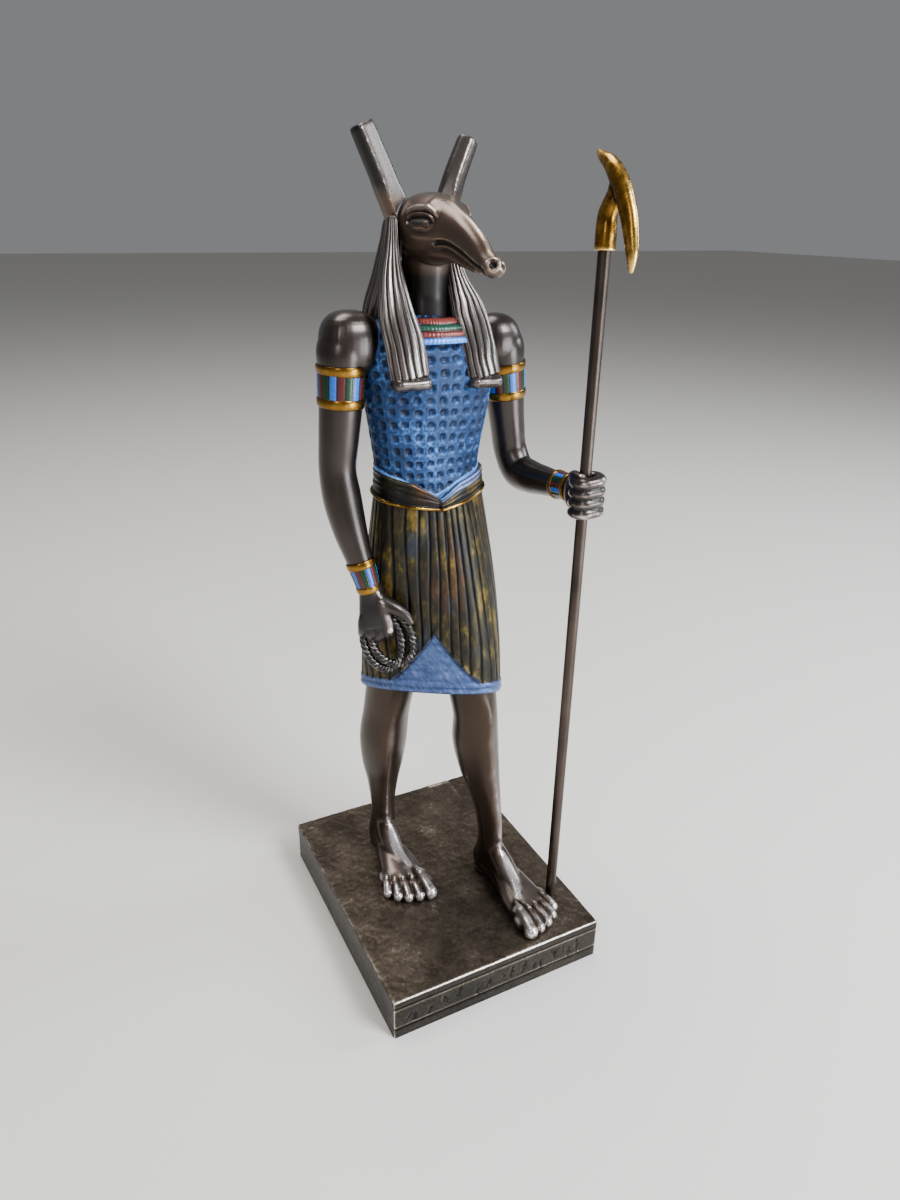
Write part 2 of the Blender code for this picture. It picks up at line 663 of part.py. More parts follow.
def build_plinth(finish):
    """The block, with two lines cut round the front, a bare sunk patch behind, and the staff's socket."""
    half_w, half_d = plinth_size()
    plinth = place("plinth", box_mesh("plinth", (-half_w, -half_d, 0), (half_w, half_d, PLINTH_HEIGHT)), finish)
    bevel = plinth.modifiers.new("Bevel", "BEVEL")
    bevel.width = PLINTH_BEVEL
    bevel.segments = 2
    for k, z in enumerate((PLINTH_HEIGHT - GROOVE_TOP_INSET, GROOVE_FOOT_INSET)):
        low = (-half_w - SLIVER, -half_d - SLIVER * 5, z - GROOVE_WIDTH / 2)
        high = (half_w + SLIVER, -half_d + GROOVE_DEPTH, z + GROOVE_WIDTH / 2)
        boolean(plinth, "DIFFERENCE", helper(place(f"line_cut_{k}", box_mesh(f"line_cut_{k}", low, high))))
    right = half_w - PATCH_SIDE_GAP
    back = half_d - PATCH_EDGE_GAP
    low = (right - PATCH_WIDTH, back - PATCH_LENGTH, PLINTH_HEIGHT - PATCH_DEPTH)
    high = (right, back, PLINTH_HEIGHT + PATCH_DEPTH)
    boolean(plinth, "DIFFERENCE", helper(place("patch_cut", box_mesh("patch_cut", low, high))))
    radius = STAFF_DIAMETER / 2 + CLEARANCE
    socket = rod_mesh("socket_cut", radius, PLINTH_HEIGHT - SOCKET_DEPTH, PLINTH_HEIGHT + SOCKET_DEPTH)
    boolean(plinth, "DIFFERENCE", helper(place("socket_cut", socket, at=(*staff_place(), 0))))


def build_figure(finish):
    """The casting: every mass joined, its soles cut flat and the fist bored for the staff."""
    base = (0, 0, PLINTH_HEIGHT)
    figure = place("figure", sweep("figure", TORSO, 28, 14, power=2.25), finish, at=base)
    group = bpy.data.collections.new("masses")
    bpy.context.scene.collection.children.link(group)
    for mesh in masses():
        helper(place(mesh.name, mesh, at=base, collection=group))
    boolean(figure, "UNION", collection=group)
    fewer = figure.modifiers.new("Fewer faces", "DECIMATE")
    fewer.ratio = FIGURE_FACES_KEPT
    half_w, half_d = plinth_size()
    under = box_mesh("sole_cut", (-half_w, -half_d, -0.02), (half_w, half_d, CLEARANCE))
    boolean(figure, "DIFFERENCE", helper(place("sole_cut", under, at=base)))
    fist_z, reach = FIST_Z * U, 12 * U
    bore = rod_mesh("fist_bore", STAFF_DIAMETER / 2 + CLEARANCE, fist_z - reach, fist_z + reach)
    at = (*staff_place(), PLINTH_HEIGHT)
    boolean(figure, "DIFFERENCE", helper(place("fist_bore", bore, at=at)))


# The staff's head: (y, z, half thickness, half depth), from the crest down the snout, in shares of its height
STAFF_HEAD = (
    (0.215, 0.990, 0.020, 0.025),
    (0.130, 0.950, 0.052, 0.048),
    (0.020, 0.895, 0.068, 0.072),
    (-0.090, 0.800, 0.078, 0.090),
    (-0.210, 0.650, 0.080, 0.092),
    (-0.300, 0.490, 0.074, 0.088),
    (-0.360, 0.330, 0.066, 0.078),
    (-0.400, 0.160, 0.050, 0.058),
    (-0.405, 0.035, 0.022, 0.026),
)
SLEEVE_TOP = 0.60  # shares of the head's height
SLEEVE_FOOT = 0.19


def build_staff(rod_finish, head_finish):
    """The rod from its socket up into the sleeve, and the head with its blind bore."""
    x, y = staff_place()
    top = PLINTH_HEIGHT + STAFF_HEIGHT
    head_foot = top - STAFF_HEAD_HEIGHT
    sleeve_foot = head_foot + SLEEVE_FOOT * STAFF_HEAD_HEIGHT
    bore_top = sleeve_foot + SLEEVE_BORE_DEPTH
    low = PLINTH_HEIGHT - SOCKET_DEPTH + CLEARANCE
    rod = rod_mesh("staff_rod", STAFF_DIAMETER / 2, low, bore_top - CLEARANCE)
    place("staff_rod", rod, rod_finish, at=(x, y, 0))
    unit_mesh = STAFF_HEAD_HEIGHT / U
    rows = [(0, r[0] * unit_mesh, r[1] * unit_mesh, r[2] * unit_mesh, r[3] * unit_mesh) for r in STAFF_HEAD]
    head = place("staff_head", sweep("staff_head", rows, 12, 12), head_finish, at=(x, y, head_foot))
    outer = (STAFF_DIAMETER / 2 + CLEARANCE + SLEEVE_WALL) / U
    foot, shoulder = SLEEVE_FOOT * unit_mesh, SLEEVE_TOP * unit_mesh
    lean = -0.10 * unit_mesh
    sleeve_rows = (
        (0, 0, foot, outer, outer),
        (0, 0, (foot * 2 + shoulder) / 3, outer, outer),
        (0, 0, (foot + shoulder * 2) / 3, outer * 0.92, outer * 0.96),
        (0, lean, shoulder + 0.08 * unit_mesh, outer * 0.66, outer * 0.8),
    )
    sleeve = helper(place("sleeve", sweep("sleeve", sleeve_rows, 16, 6), at=(x, y, head_foot)))
    boolean(head, "UNION", sleeve)
    bore = rod_mesh("sleeve_bore", STAFF_DIAMETER / 2 + CLEARANCE, sleeve_foot - 0.002, bore_top)
    boolean(head, "DIFFERENCE", helper(place("sleeve_bore", bore, at=(x, y, 0))))


def main():
    for thing in list(bpy.data.objects):
        bpy.data.objects.remove(thing)
    bronze = material("cold_cast_bronze", (0.30, 0.22, 0.17), 1.0, 0.35)
    dark = material("plinth_bronze", (0.17, 0.13, 0.10), 0.9, 0.5)
    rod = material("rod_bronze", (0.26, 0.20, 0.17), 1.0, 0.4)
    gold = material("old_gold", (0.62, 0.40, 0.10), 1.0, 0.35)
    build_plinth(dark)
    build_figure(bronze)
    build_staff(rod, gold)


main()
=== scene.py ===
"""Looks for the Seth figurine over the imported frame: its bronze skin, painted costume, plinth and staff.

Free forms are in figure units of one millimetre, from the plinth's top, as in the part's source.
The figure faces -Y, and its left hand is at +X.
"""

import math

import bpy
import numpy as np
from mathutils import Matrix, Vector


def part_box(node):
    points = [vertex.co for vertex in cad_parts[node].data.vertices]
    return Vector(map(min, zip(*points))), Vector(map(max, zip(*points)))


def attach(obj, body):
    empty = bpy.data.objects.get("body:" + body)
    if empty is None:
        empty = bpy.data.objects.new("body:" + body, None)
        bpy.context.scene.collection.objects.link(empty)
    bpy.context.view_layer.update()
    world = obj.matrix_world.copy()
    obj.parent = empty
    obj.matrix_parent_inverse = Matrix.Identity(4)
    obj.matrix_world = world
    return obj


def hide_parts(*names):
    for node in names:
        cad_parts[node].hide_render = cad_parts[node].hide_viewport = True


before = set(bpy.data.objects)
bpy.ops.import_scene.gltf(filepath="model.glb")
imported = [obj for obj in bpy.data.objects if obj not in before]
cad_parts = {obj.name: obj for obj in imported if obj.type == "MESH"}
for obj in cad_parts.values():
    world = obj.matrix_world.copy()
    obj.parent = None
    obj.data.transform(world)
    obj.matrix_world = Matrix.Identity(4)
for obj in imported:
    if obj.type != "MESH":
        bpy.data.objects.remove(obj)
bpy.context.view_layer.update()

U = 0.001  # one figure unit, in metres
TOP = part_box("plinth")[1][2]  # the plinth's top
HALF_W, HALF_D = (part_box("plinth")[1][k] / U for k in (0, 1))
STAFF_X, STAFF_Y = (sum(corner[k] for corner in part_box("staff_rod")) / 2 / U for k in (0, 1))
HEAD_LOW = (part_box("staff_head")[0][2] - TOP) / U
HEAD_TALL = (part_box("staff_head")[1][2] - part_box("staff_head")[0][2]) / U
FIST_Z = 173.6  # the height of the left fist's middle
SOLE_GAP = 0.3  # the gap below the soles, and between the fingers and the rod
ROD_R = 2.0

# The pitch of each fused skin's mesh
HEAD_PITCH = 0.39
ARM_R_PITCH = 0.44
ARM_L_PITCH = 0.42
LEG_PITCH = 0.52
CREST_PITCH = 0.30


# Geometry helpers


def unit(v):
    return v / np.linalg.norm(v, axis=-1, keepdims=True)


def bell(distance, width):
    return np.exp(-((distance / width) ** 2))


def step(low, high, value):
    """0 below low, 1 above high, smooth between."""
    t = np.clip((value - low) / (high - low), 0, 1)
    return t * t * (3 - 2 * t)


def smooth_rows(rows, count):
    """Rows of numbers resampled along a smooth curve through them; the first three are a place."""
    rows = np.array(rows, float)
    knots = np.r_[0, np.cumsum(np.linalg.norm(np.diff(rows[:, :3], axis=0), axis=1))]
    slopes = np.gradient(rows, knots, axis=0)
    at = np.linspace(0, knots[-1], count)
    i = np.clip(np.searchsorted(knots, at, side="right") - 1, 0, len(knots) - 2)
    h = (knots[i + 1] - knots[i])[:, None]
    s = (at - knots[i])[:, None] / h
    start = (1 + 2 * s) * (1 - s) ** 2 * rows[i] + s * (1 - s) ** 2 * h * slopes[i]
    end = s * s * (3 - 2 * s) * rows[i + 1] + s * s * (s - 1) * h * slopes[i + 1]
    return start + end


def turns(count, start=0.0):
    return start + 2 * math.pi * np.arange(count) / count


def wrapped(angle):
    """An angle brought to between minus half a turn and half a turn."""
    return (angle + math.pi) % (2 * math.pi) - math.pi


def oval(across, deep, power):
    """Radius of an oval, squarer with a higher power, from a direction's two parts."""
    return (np.abs(across) ** power + np.abs(deep) ** power) ** (-1 / power)


def dome(square):
    """Height of a unit dome at a squared distance from its middle."""
    return np.sqrt(np.clip(1 - square, 0, 1))


def frames(stations, side):
    """Directions along a run of stations, across it towards side, and square to both."""
    side = np.array(side, float)
    along = unit(np.gradient(stations[:, :3], axis=0))
    across = unit(side - (along @ side)[:, None] * along)
    return along, across, np.cross(along, across)


def spread(stations, wide, deep, across, other):
    """Points about each station, wide and deep away from it."""
    return stations[:, None, :3] + wide[..., None] * across[:, None] + deep[..., None] * other[:, None]


def tube(rows, segments, count, side=(1, 0, 0), power=2.0, relief=0.0, tips=(0, 0)):
    """Rings of points along rows of (x, y, z, half width, half depth), with ends rounded off over tips."""
    stations = smooth_rows(rows, count)
    along, across, other = frames(stations, side)
    angles = turns(segments)
    c, s = np.cos(angles), np.sin(angles)
    r = oval(c, s, power)
    relief = np.broadcast_to(relief, (count, segments))
    wide = (stations[:, 3:4] * r + relief) * c
    deep = (stations[:, 4:5] * r + relief) * s
    rings = list(spread(stations, wide, deep, across, other))
    for end, sign in ((0, -1), (-1, 1)):
        if not tips[end]:
            continue
        middle = stations[end, :3]
        rim = rings[end] - middle
        for share in (0.35, 0.6, 0.8, 0.93):
            grown = middle + rim * math.sqrt(1 - share**2) + sign * along[end] * tips[end] * share
            rings.insert(len(rings) if sign > 0 else 0, grown)
    return np.array(rings)


def quads(rings, segments, wrap=False):
    """Faces between neighbouring rings; wrap joins the last ring to the first."""
    r = np.arange(rings if wrap else rings - 1)[:, None]
    k = np.arange(segments)[None, :]
    after, up = (k + 1) % segments, (r + 1) % rings
    corners = (r * segments + k, r * segments + after, up * segments + after, up * segments + k)
    return np.stack(corners, -1).reshape(-1, 4)


def solid(rings):
    """A closed mesh, (points, faces), through rings of points, with a fan over each end."""
    count, n = rings.shape[:2]
    points = np.vstack([rings.reshape(-1, 3), rings[0].mean(0), rings[-1].mean(0)])
    k = np.arange(n)
    after, last = (k + 1) % n, (count - 1) * n
    faces = quads(count, n).tolist()
    faces += np.stack([after, k, np.full(n, count * n)], -1).tolist()
    faces += np.stack([last + k, last + after, np.full(n, count * n + 1)], -1).tolist()
    return points, faces


def with_ends(values):
    """Values on rings, with those of the two middle points that solid adds."""
    values = np.asarray(values, float)
    return np.r_[values.ravel(), values[0].mean(), values[-1].mean()]


def ball(centre, radii, power=2.0):
    """An ellipsoid, squarer with a higher power."""
    segments, rings = 28, 18
    polar = np.linspace(0, math.pi, rings + 2)[1:-1, None]
    angles = turns(segments)[None, :]
    flat = np.sin(polar)
    way = np.stack([flat * np.cos(angles), flat * np.sin(angles), -np.cos(polar) + 0 * angles], -1)
    way /= (np.abs(way) ** power).sum(-1, keepdims=True) ** (1 / power)
    return solid(way * np.array(radii) + np.array(centre))


def capsule(places, radii, segments=16, rings=20):
    """A round-ended tube: a finger, toe or tendon."""
    rows = [(*p, r, r) for p, r in zip(places, radii)]
    run = np.array(places[-1], float) - np.array(places[0], float)
    side = (0, 0, 1) if abs(unit(run)[2]) < 0.8 else (1, 0, 0)
    return solid(tube(rows, segments, rings, side, tips=(radii[0] * 0.9, radii[-1] * 0.9)))


def joined(parts):
    points, faces, base = [], [], 0
    for part_points, part_faces in parts:
        points.append(part_points)
        faces += [[i + base for i in face] for face in part_faces]
        base += len(part_points)
    return np.vstack(points), faces


def bare_mesh(name, points, faces):
    mesh = bpy.data.meshes.new(name)
    mesh.from_pydata(points.tolist(), [], faces if isinstance(faces, list) else faces.tolist())
    return mesh


def added(name, data):
    """A new object in the scene."""
    thing = bpy.data.objects.new(name, data)
    bpy.context.scene.collection.objects.link(thing)
    return thing


def fused(parts, voxel):
    """One even skin over the union of closed meshes: (points, quads)."""
    carrier = added("carrier", bare_mesh("carrier", *joined(parts)))
    modifier = carrier.modifiers.new("Union", "REMESH")
    modifier.mode = "VOXEL"
    modifier.voxel_size = voxel
    made = carrier.evaluated_get(bpy.context.evaluated_depsgraph_get())
    mesh = made.to_mesh()
    points = np.empty(len(mesh.vertices) * 3, np.float32)
    mesh.vertices.foreach_get("co", points)
    faces = np.empty(len(mesh.loops), np.int32)
    mesh.loops.foreach_get("vertex_index", faces)
    made.to_mesh_clear()
    bpy.data.objects.remove(carrier)
    return points.reshape(-1, 3).astype(float), faces.reshape(-1, 4)


class Skin:
    """One even skin of quads over the union of closed meshes, and ways to smooth it and read its relief."""

    def __init__(self, parts, pitch):
        self.points, self.faces = fused(parts, pitch)
        edges = np.concatenate([self.faces[:, [k, (k + 1) % 4]] for k in range(4)])
        edges = np.unique(np.sort(edges, axis=1), axis=0)
        self.ends = np.concatenate([edges, edges[:, ::-1]])
        self.degree = np.bincount(self.ends[:, 0], minlength=len(self.points))

    def averaged(self, values, rounds=1):
        """Each point's mean over its neighbours, taken a number of times."""
        if values.ndim > 1:
            return np.stack([self.averaged(column, rounds) for column in values.T], 1)
        for _ in range(rounds):
            values = np.bincount(self.ends[:, 0], values[self.ends[:, 1]], len(values)) / self.degree
        return values

    def normals(self):
        """The unit normal at each point."""
        corners = self.faces.T
        a, b, c, d = self.points[corners]
        flat = np.cross(c - a, d - b)
        total = [sum(np.bincount(at, part, len(self.points)) for at in corners) for part in flat.T]
        total = np.stack(total, 1)
        return total / np.maximum(np.linalg.norm(total, axis=1, keepdims=True), 1e-9)

    def relaxed(self, rounds):
        """Smoothed without shrinking: each round pulls in, then pushes nearly as far out."""
        points = self.points
        for _ in range(rounds):
            for pull in (0.55, -0.57):
                points = points + pull * (self.averaged(points) - points)
        return points

    def filleted(self, rounds, share):
        """Creases filled towards a smoothed surface, with ridges left as they are."""
        normals = self.normals()
        soft = self.averaged(self.points, rounds)
        lift = np.maximum(((soft - self.points) * normals).sum(1), 0) * share
        return self.points + self.averaged(lift, 3)[:, None] * normals

    def relief(self, blur):
        """How far each point stands proud of its surroundings, from -1 in a crease to 1 on a ridge."""
        far = self.averaged(self.points, blur)
        proud = self.averaged(((self.points - far) * self.normals()).sum(1), 2)
        proud -= np.median(proud)
        return np.clip(proud / (np.percentile(np.abs(proud), 97.5) + 1e-9), -1, 1)


def sharpened(relief):
    """Keeps creases and ridges and evens out the broad forms between them."""
    return relief * np.abs(relief) ** 0.6


def noise_at(points, scale, seed):
    """Smooth noise from -1 to 1, with features about scale across."""
    size = 32
    lattice = np.random.default_rng(seed).uniform(-1, 1, (size, size, size))
    grid = points / scale
    cell = np.floor(grid).astype(int)
    f = grid - cell
    f = f * f * (3 - 2 * f)
    total = np.zeros(len(points))
    for corner in np.ndindex(2, 2, 2):
        weight = np.prod(np.where(corner, f, 1 - f), axis=1)
        i = (cell + corner) % size
        total += weight * lattice[i[:, 0], i[:, 1], i[:, 2]]
    return total


def piece(name, shape, material, slot="cold_cast_bronze", node="figure", **masks):
    """A piece of the statue from (points, faces) in figure units; each mask has a number for each point."""
    points, faces = shape
    mesh = bare_mesh(name, points * U + np.array((0, 0, TOP)), faces)
    mesh.polygons.foreach_set("use_smooth", np.ones(len(mesh.polygons), bool))
    for key, values in masks.items():
        attribute = mesh.attributes.new(key, "FLOAT", "POINT")
        attribute.data.foreach_set("value", np.asarray(values, np.float32))
    mesh.materials.append(material)
    thing = added(name, mesh)
    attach(thing, "root")
    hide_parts(node)
    return thing


# Materials


class Shader:
    """A Principled material and short ways to add nodes to it."""

    def __init__(self, name, **sockets):
        self.material = bpy.data.materials.new(name)
        self.material.use_nodes = True
        self.tree = self.material.node_tree
        self.main = self.tree.nodes["Principled BSDF"]
        for key, value in sockets.items():
            self.main.inputs[key.replace("_", " ")].default_value = value

    def node(self, kind, inputs=(), **settings):
        made = self.tree.nodes.new(kind)
        for key, value in settings.items():
            setattr(made, key, value)
        for key, value in dict(inputs).items():
            if isinstance(value, bpy.types.NodeSocket):
                self.tree.links.new(value, made.inputs[key])
            else:
                made.inputs[key].default_value = value
        return made

    def mask(self, name):
        return self.node("ShaderNodeAttribute", attribute_name=name).outputs["Fac"]

    def noise(self, scale, detail=3.0, stretch=None, roughness=0.55):
        """Noise from 0 to 1 in the object's own metres; stretch squeezes it along an axis."""
        place = self.node("ShaderNodeTexCoord").outputs["Object"]
        if stretch:
            place = self.node("ShaderNodeMapping", {"Vector": place, "Scale": stretch}).outputs["Vector"]
        inputs = {"Vector": place, "Scale": scale, "Detail": detail, "Roughness": roughness}
        return self.node("ShaderNodeTexNoise", inputs).outputs["Fac"]

    def ramp(self, value, stops, interpolation="LINEAR"):
        """Colours, or greys, along a value: (place, colour) pairs."""
        made = self.node("ShaderNodeValToRGB", {"Fac": value})
        made.color_ramp.interpolation = interpolation
        marks = made.color_ramp.elements
        while len(marks) < len(stops):
            marks.new(0.5)
        for mark, (place, colour) in zip(marks, stops):
            mark.position = place
            mark.color = (*colour, 1) if isinstance(colour, tuple) else (colour, colour, colour, 1)
        return made.outputs["Color"]

    def math(self, operation, a, b=0.5, c=None):
        inputs = {0: a, 1: b} if c is None else {0: a, 1: b, 2: c}
        return self.node("ShaderNodeMath", inputs, operation=operation).outputs[0]

    def mix(self, share, a, b, blend="MIX"):
        made = self.node("ShaderNodeMix", data_type="RGBA", blend_type=blend)
        for key, value in ((0, share), (6, a), (7, b)):
            if isinstance(value, bpy.types.NodeSocket):
                self.tree.links.new(value, made.inputs[key])
            else:
                made.inputs[key].default_value = (*value, 1) if isinstance(value, tuple) else value
        return made.outputs[2]

    def swayed(self, value, noise, amount):
        """A value moved up and down by noise."""
        return self.math("MULTIPLY_ADD", self.math("SUBTRACT", noise, 0.5), amount, value)

    def wear(self, noise, amount):
        """The relief mask brought from -1 to 1 to 0 to 1, and roughened by noise."""
        return self.swayed(self.math("MULTIPLY_ADD", self.mask("relief"), 0.5, 0.5), noise, amount)

    def set(self, **sockets):
        for key, value in sockets.items():
            self.tree.links.new(value, self.main.inputs[key.replace("_", " ")])

    def bump(self, height, distance, strength=0.5):
        inputs = {"Height": height, "Distance": distance, "Strength": strength}
        self.set(Normal=self.node("ShaderNodeBump", inputs).outputs["Normal"])
        return self


def bronze_material(name, dark, body, bright, rough, metal=0.86, coat=0.6, silver=0.0):
    """Burnished cold-cast bronze: dark in hollows, body on broad forms, bright on rubbed ridges and painted
    highlights.
    """
    s = Shader(name, Metallic=metal, Coat_Weight=coat, Coat_Roughness=0.28, Coat_IOR=1.5)
    fine = s.noise(1400, 3)
    wear = s.swayed(s.wear(s.noise(60, 3), 0.3), fine, 0.07)
    dim = tuple(0.55 * c for c in body)
    lit = tuple(1.7 * c + silver * b for c, b in zip(body, bright))
    colour = s.ramp(wear, ((0.10, dark), (0.36, dim), (0.54, body), (0.76, lit), (1.0, bright)))
    roughness = s.ramp(wear, ((0.1, rough + 0.2), (0.5, rough), (0.95, rough - 0.06)))
    s.set(Base_Color=colour, Roughness=roughness)
    return s.bump(fine, 0.00005).material


# The same bronze in copies: the head's is lighter, painted as lit
FACE = bronze_material(
    "face_bronze_painted_lit", (0.005, 0.003, 0.002), (0.100, 0.064, 0.044), (0.50, 0.42, 0.36), 0.35, 0.76, 0.4
)
# The arms' copy is darker, painted as in shade
SKIN = bronze_material("skin_bronze_painted_shade", (0.003, 0.002, 0.002), (0.038, 0.026, 0.021), (0.62, 0.56, 0.53), 0.33)
# The legs' warmer, darker brown is a painted reflection of warm surroundings; its near-white bright end shows
# their rubbed ridges and the painted highlights on the shins and feet
LEGS = bronze_material(
    "leg_bronze_painted_reflection", (0.003, 0.002, 0.001), (0.038, 0.020, 0.010), (0.86, 0.80, 0.79), 0.32, 0.86, 0.36, 0.12
)
HAIR = bronze_material("hair_bronze", (0.003, 0.003, 0.003), (0.088, 0.069, 0.060), (0.82, 0.78, 0.77), 0.30)
ROPE = bronze_material("rope_bronze", (0.002, 0.002, 0.002), (0.024, 0.018, 0.016), (0.55, 0.50, 0.47), 0.30)


def gold_material():
    s = Shader("old_gold", Metallic=1.0, Coat_Weight=0.15)
    golds = (
        (0.1, (0.020, 0.009, 0.002)),
        (0.38, (0.11, 0.048, 0.006)),
        (0.62, (0.27, 0.135, 0.016)),
        (0.95, (0.85, 0.56, 0.16)),
    )
    s.set(Base_Color=s.ramp(s.wear(s.noise(260, 3), 0.45), golds))
    s.set(Roughness=s.ramp(s.noise(500, 3), ((0.3, 0.20), (0.7, 0.36))))
    return s.bump(s.noise(900, 4), 0.00008, 0.6).material


GOLD = gold_material()


def corselet_material():
    """Hand-brushed blue with a dark wash in the hollows, dry-brushed high spots, and painted shade and
    highlights round the pits.
    """
    deep, body, pale = (0.002, 0.004, 0.014), (0.011, 0.045, 0.142), (0.12, 0.32, 0.76)
    s = Shader("corselet_blue", Metallic=0.22, Coat_Weight=0.05, Coat_Roughness=0.3, Specular_IOR_Level=0.3)
    brush = s.noise(900, 4)
    dim = tuple((a + b) / 2 for a, b in zip(deep, body))
    colour = s.ramp(s.wear(brush, 0.7), ((0.08, deep), (0.42, dim), (0.58, body), (0.86, pale)))
    s.set(Base_Color=colour, Roughness=s.ramp(brush, ((0.3, 0.40), (0.7, 0.58))))
    return s.bump(brush, 0.00009, 0.5).material


CORSELET_BLUE = corselet_material()


def enamel_material():
    """Stripes of blue, red and green enamel, with dark lines between, in a mask that counts stripes."""
    s = Shader("enamel", Metallic=0.1, Coat_Weight=0.3, Coat_Roughness=0.12, Specular_IOR_Level=0.3)
    count = s.mask("stripe")
    place = s.math("FRACT", count)
    which = s.math("DIVIDE", s.math("MODULO", s.math("FLOOR", count), 3.0), 3.0)
    colours = ((0, (0.022, 0.14, 0.58)), (0.2, (0.075, 0.010, 0.010)), (0.5, (0.002, 0.030, 0.007)))
    stripe = s.ramp(which, colours, "CONSTANT")
    from_edge = s.math("ABSOLUTE", s.math("SUBTRACT", place, 0.5))
    line = s.ramp(from_edge, ((0.40, 0.0), (0.45, 1.0)))
    colour = s.mix(line, stripe, (0.012, 0.010, 0.010))
    mottled = s.mix(0.35, colour, s.ramp(s.noise(600), ((0.3, 0.45), (0.7, 1.1))), "MULTIPLY")
    s.set(Base_Color=mottled, Roughness=s.ramp(s.noise(700), ((0.3, 0.2), (0.7, 0.36))))
    return s.material


ENAMEL = enamel_material()


def kilt_material():
    """Mottled metallic olive, gold, rust and slate cloth, and the lilac-blue of the hem and the apron."""
    s = Shader("kilt", Metallic=0.42, Coat_Weight=0.05, Coat_Roughness=0.3, Specular_IOR_Level=0.3)
    patch = s.noise(120, 6, (1, 1, 0.55), 0.68)
    brush = s.noise(900, 4, (1, 1, 0.3))
    tints = (
        (0.34, (0.009, 0.010, 0.012)),
        (0.45, (0.013, 0.010, 0.006)),
        (0.55, (0.034, 0.026, 0.008)),
        (0.64, (0.150, 0.100, 0.015)),
        (0.72, (0.095, 0.030, 0.008)),
    )
    rust = s.ramp(s.noise(62, 4, (1, 1, 0.5)), ((0.55, 0.0), (0.66, 0.6)))
    slate = s.ramp(s.noise(88, 4, (1, 1, 0.5)), ((0.60, 0.0), (0.70, 0.45)))
    ground = s.mix(slate, s.mix(rust, s.ramp(patch, tints), (0.085, 0.031, 0.010)), (0.030, 0.042, 0.070))
    shade = s.ramp(s.wear(brush, 0.5), ((0.14, 0.015), (0.40, 0.42), (0.62, 0.9), (0.92, 3.0)))
    cloth = s.mix(1.0, ground, shade, "MULTIPLY")
    place = s.node("ShaderNodeTexCoord").outputs["Object"]
    slanted = {"Vector": place, "Rotation": (0, 0.9, 0), "Scale": (4.0, 1.5, 1.0)}
    slanted = s.node("ShaderNodeMapping", slanted, vector_type="TEXTURE").outputs["Vector"]
    weave = s.node("ShaderNodeTexNoise", {"Vector": slanted, "Scale": 1100, "Detail": 5}).outputs["Fac"]
    blues = (
        (0.10, (0.004, 0.008, 0.030)),
        (0.38, (0.026, 0.048, 0.13)),
        (0.60, (0.070, 0.115, 0.27)),
        (0.90, (0.34, 0.42, 0.68)),
    )
    lilac = s.ramp(s.swayed(s.wear(weave, 0.6), s.noise(90, 3), 0.3), blues)
    s.set(Base_Color=s.mix(s.mask("blue"), cloth, lilac), Roughness=s.ramp(patch, ((0.3, 0.34), (0.7, 0.46))))
    return s.bump(s.math("ADD", brush, weave), 0.00010, 0.6).material


KILT_CLOTH = kilt_material()


def bead_material():
    """Collar rows in red, green, red and bright blue, counted by a mask."""
    s = Shader("beads", Metallic=0.2, Coat_Weight=0.2)
    colours = (
        (0, (0.13, 0.022, 0.016)),
        (0.25, (0.008, 0.050, 0.030)),
        (0.5, (0.12, 0.018, 0.014)),
        (0.75, (0.040, 0.17, 0.58)),
    )
    row = s.ramp(s.math("DIVIDE", s.mask("row"), 4.0), colours, "CONSTANT")
    shade = s.ramp(s.wear(s.noise(900), 0.4), ((0.1, 0.04), (0.5, 0.8), (0.9, 1.9)))
    colour = s.mix(1.0, row, shade, "MULTIPLY")
    s.set(Base_Color=colour, Roughness=s.ramp(s.noise(800), ((0.3, 0.3), (0.7, 0.45))))
    return s.material


BEADS = bead_material()


def plinth_material():
    s = Shader("plinth_bronze", Metallic=0.88, Coat_Weight=0.12, Coat_Roughness=0.3)
    brush = s.math("MAXIMUM", s.noise(1300, 4, (1.0, 0.5, 1.0)), s.noise(1200, 4, (0.55, 1.0, 1.0)))
    bronzes = (
        (0.15, (0.004, 0.003, 0.002)),
        (0.45, (0.052, 0.039, 0.028)),
        (0.66, (0.120, 0.093, 0.068)),
        (0.98, (0.66, 0.60, 0.54)),
    )
    colour = s.ramp(s.swayed(s.wear(brush, 0.6), s.noise(45, 4), 0.35), bronzes)
    s.set(Base_Color=colour, Roughness=s.ramp(brush, ((0.4, 0.5), (0.8, 0.34))))
    return s.bump(brush, 0.00022, 0.5).material


PLINTH_BRONZE = plinth_material()


def rod_material():
    s = Shader("rod_bronze", Metallic=0.95)
    streak = s.noise(600, 4, (1, 1, 0.03))
    blend = s.math("MULTIPLY_ADD", s.noise(60, 3), 0.4, s.math("MULTIPLY", streak, 0.6))
    colour = s.ramp(blend, ((0.3, (0.030, 0.022, 0.018)), (0.7, (0.105, 0.080, 0.066))))
    s.set(Base_Color=colour, Roughness=s.ramp(streak, ((0.3, 0.30), (0.7, 0.46))))
    return s.bump(streak, 0.00004, 0.4).material


# Head, ears and neck

X0 = -1.3  # the head's middle plane
HEAD = (
    (X0, 19.5, 254, 6.0, 5.5),
    (X0, 15.5, 254, 9.3, 9.2),
    (X0, 9.0, 254.2, 10.8, 10.4),
    (X0, 2.0, 254.4, 10.2, 9.8),
    (X0, -4.5, 254.1, 7.8, 8.2),
    (X0, -11.5, 253.0, 5.4, 6.4),
    (X0, -18.5, 250.8, 4.1, 5.6),
    (X0, -24.5, 248.3, 3.5, 4.7),
    (X0, -29.5, 246.0, 3.0, 3.2),
    (X0, -33.0, 244.8, 3.2, 2.8),
)
JAW = (
    (X0, 6.0, 248.8, 7.4, 5.4),
    (X0, -2, 247.9, 6.2, 3.8),
    (X0, -10, 247.2, 4.3, 2.4),
    (X0, -18, 245.3, 2.8, 1.6),
    (X0, -24.5, 243.7, 1.8, 1.1),
)
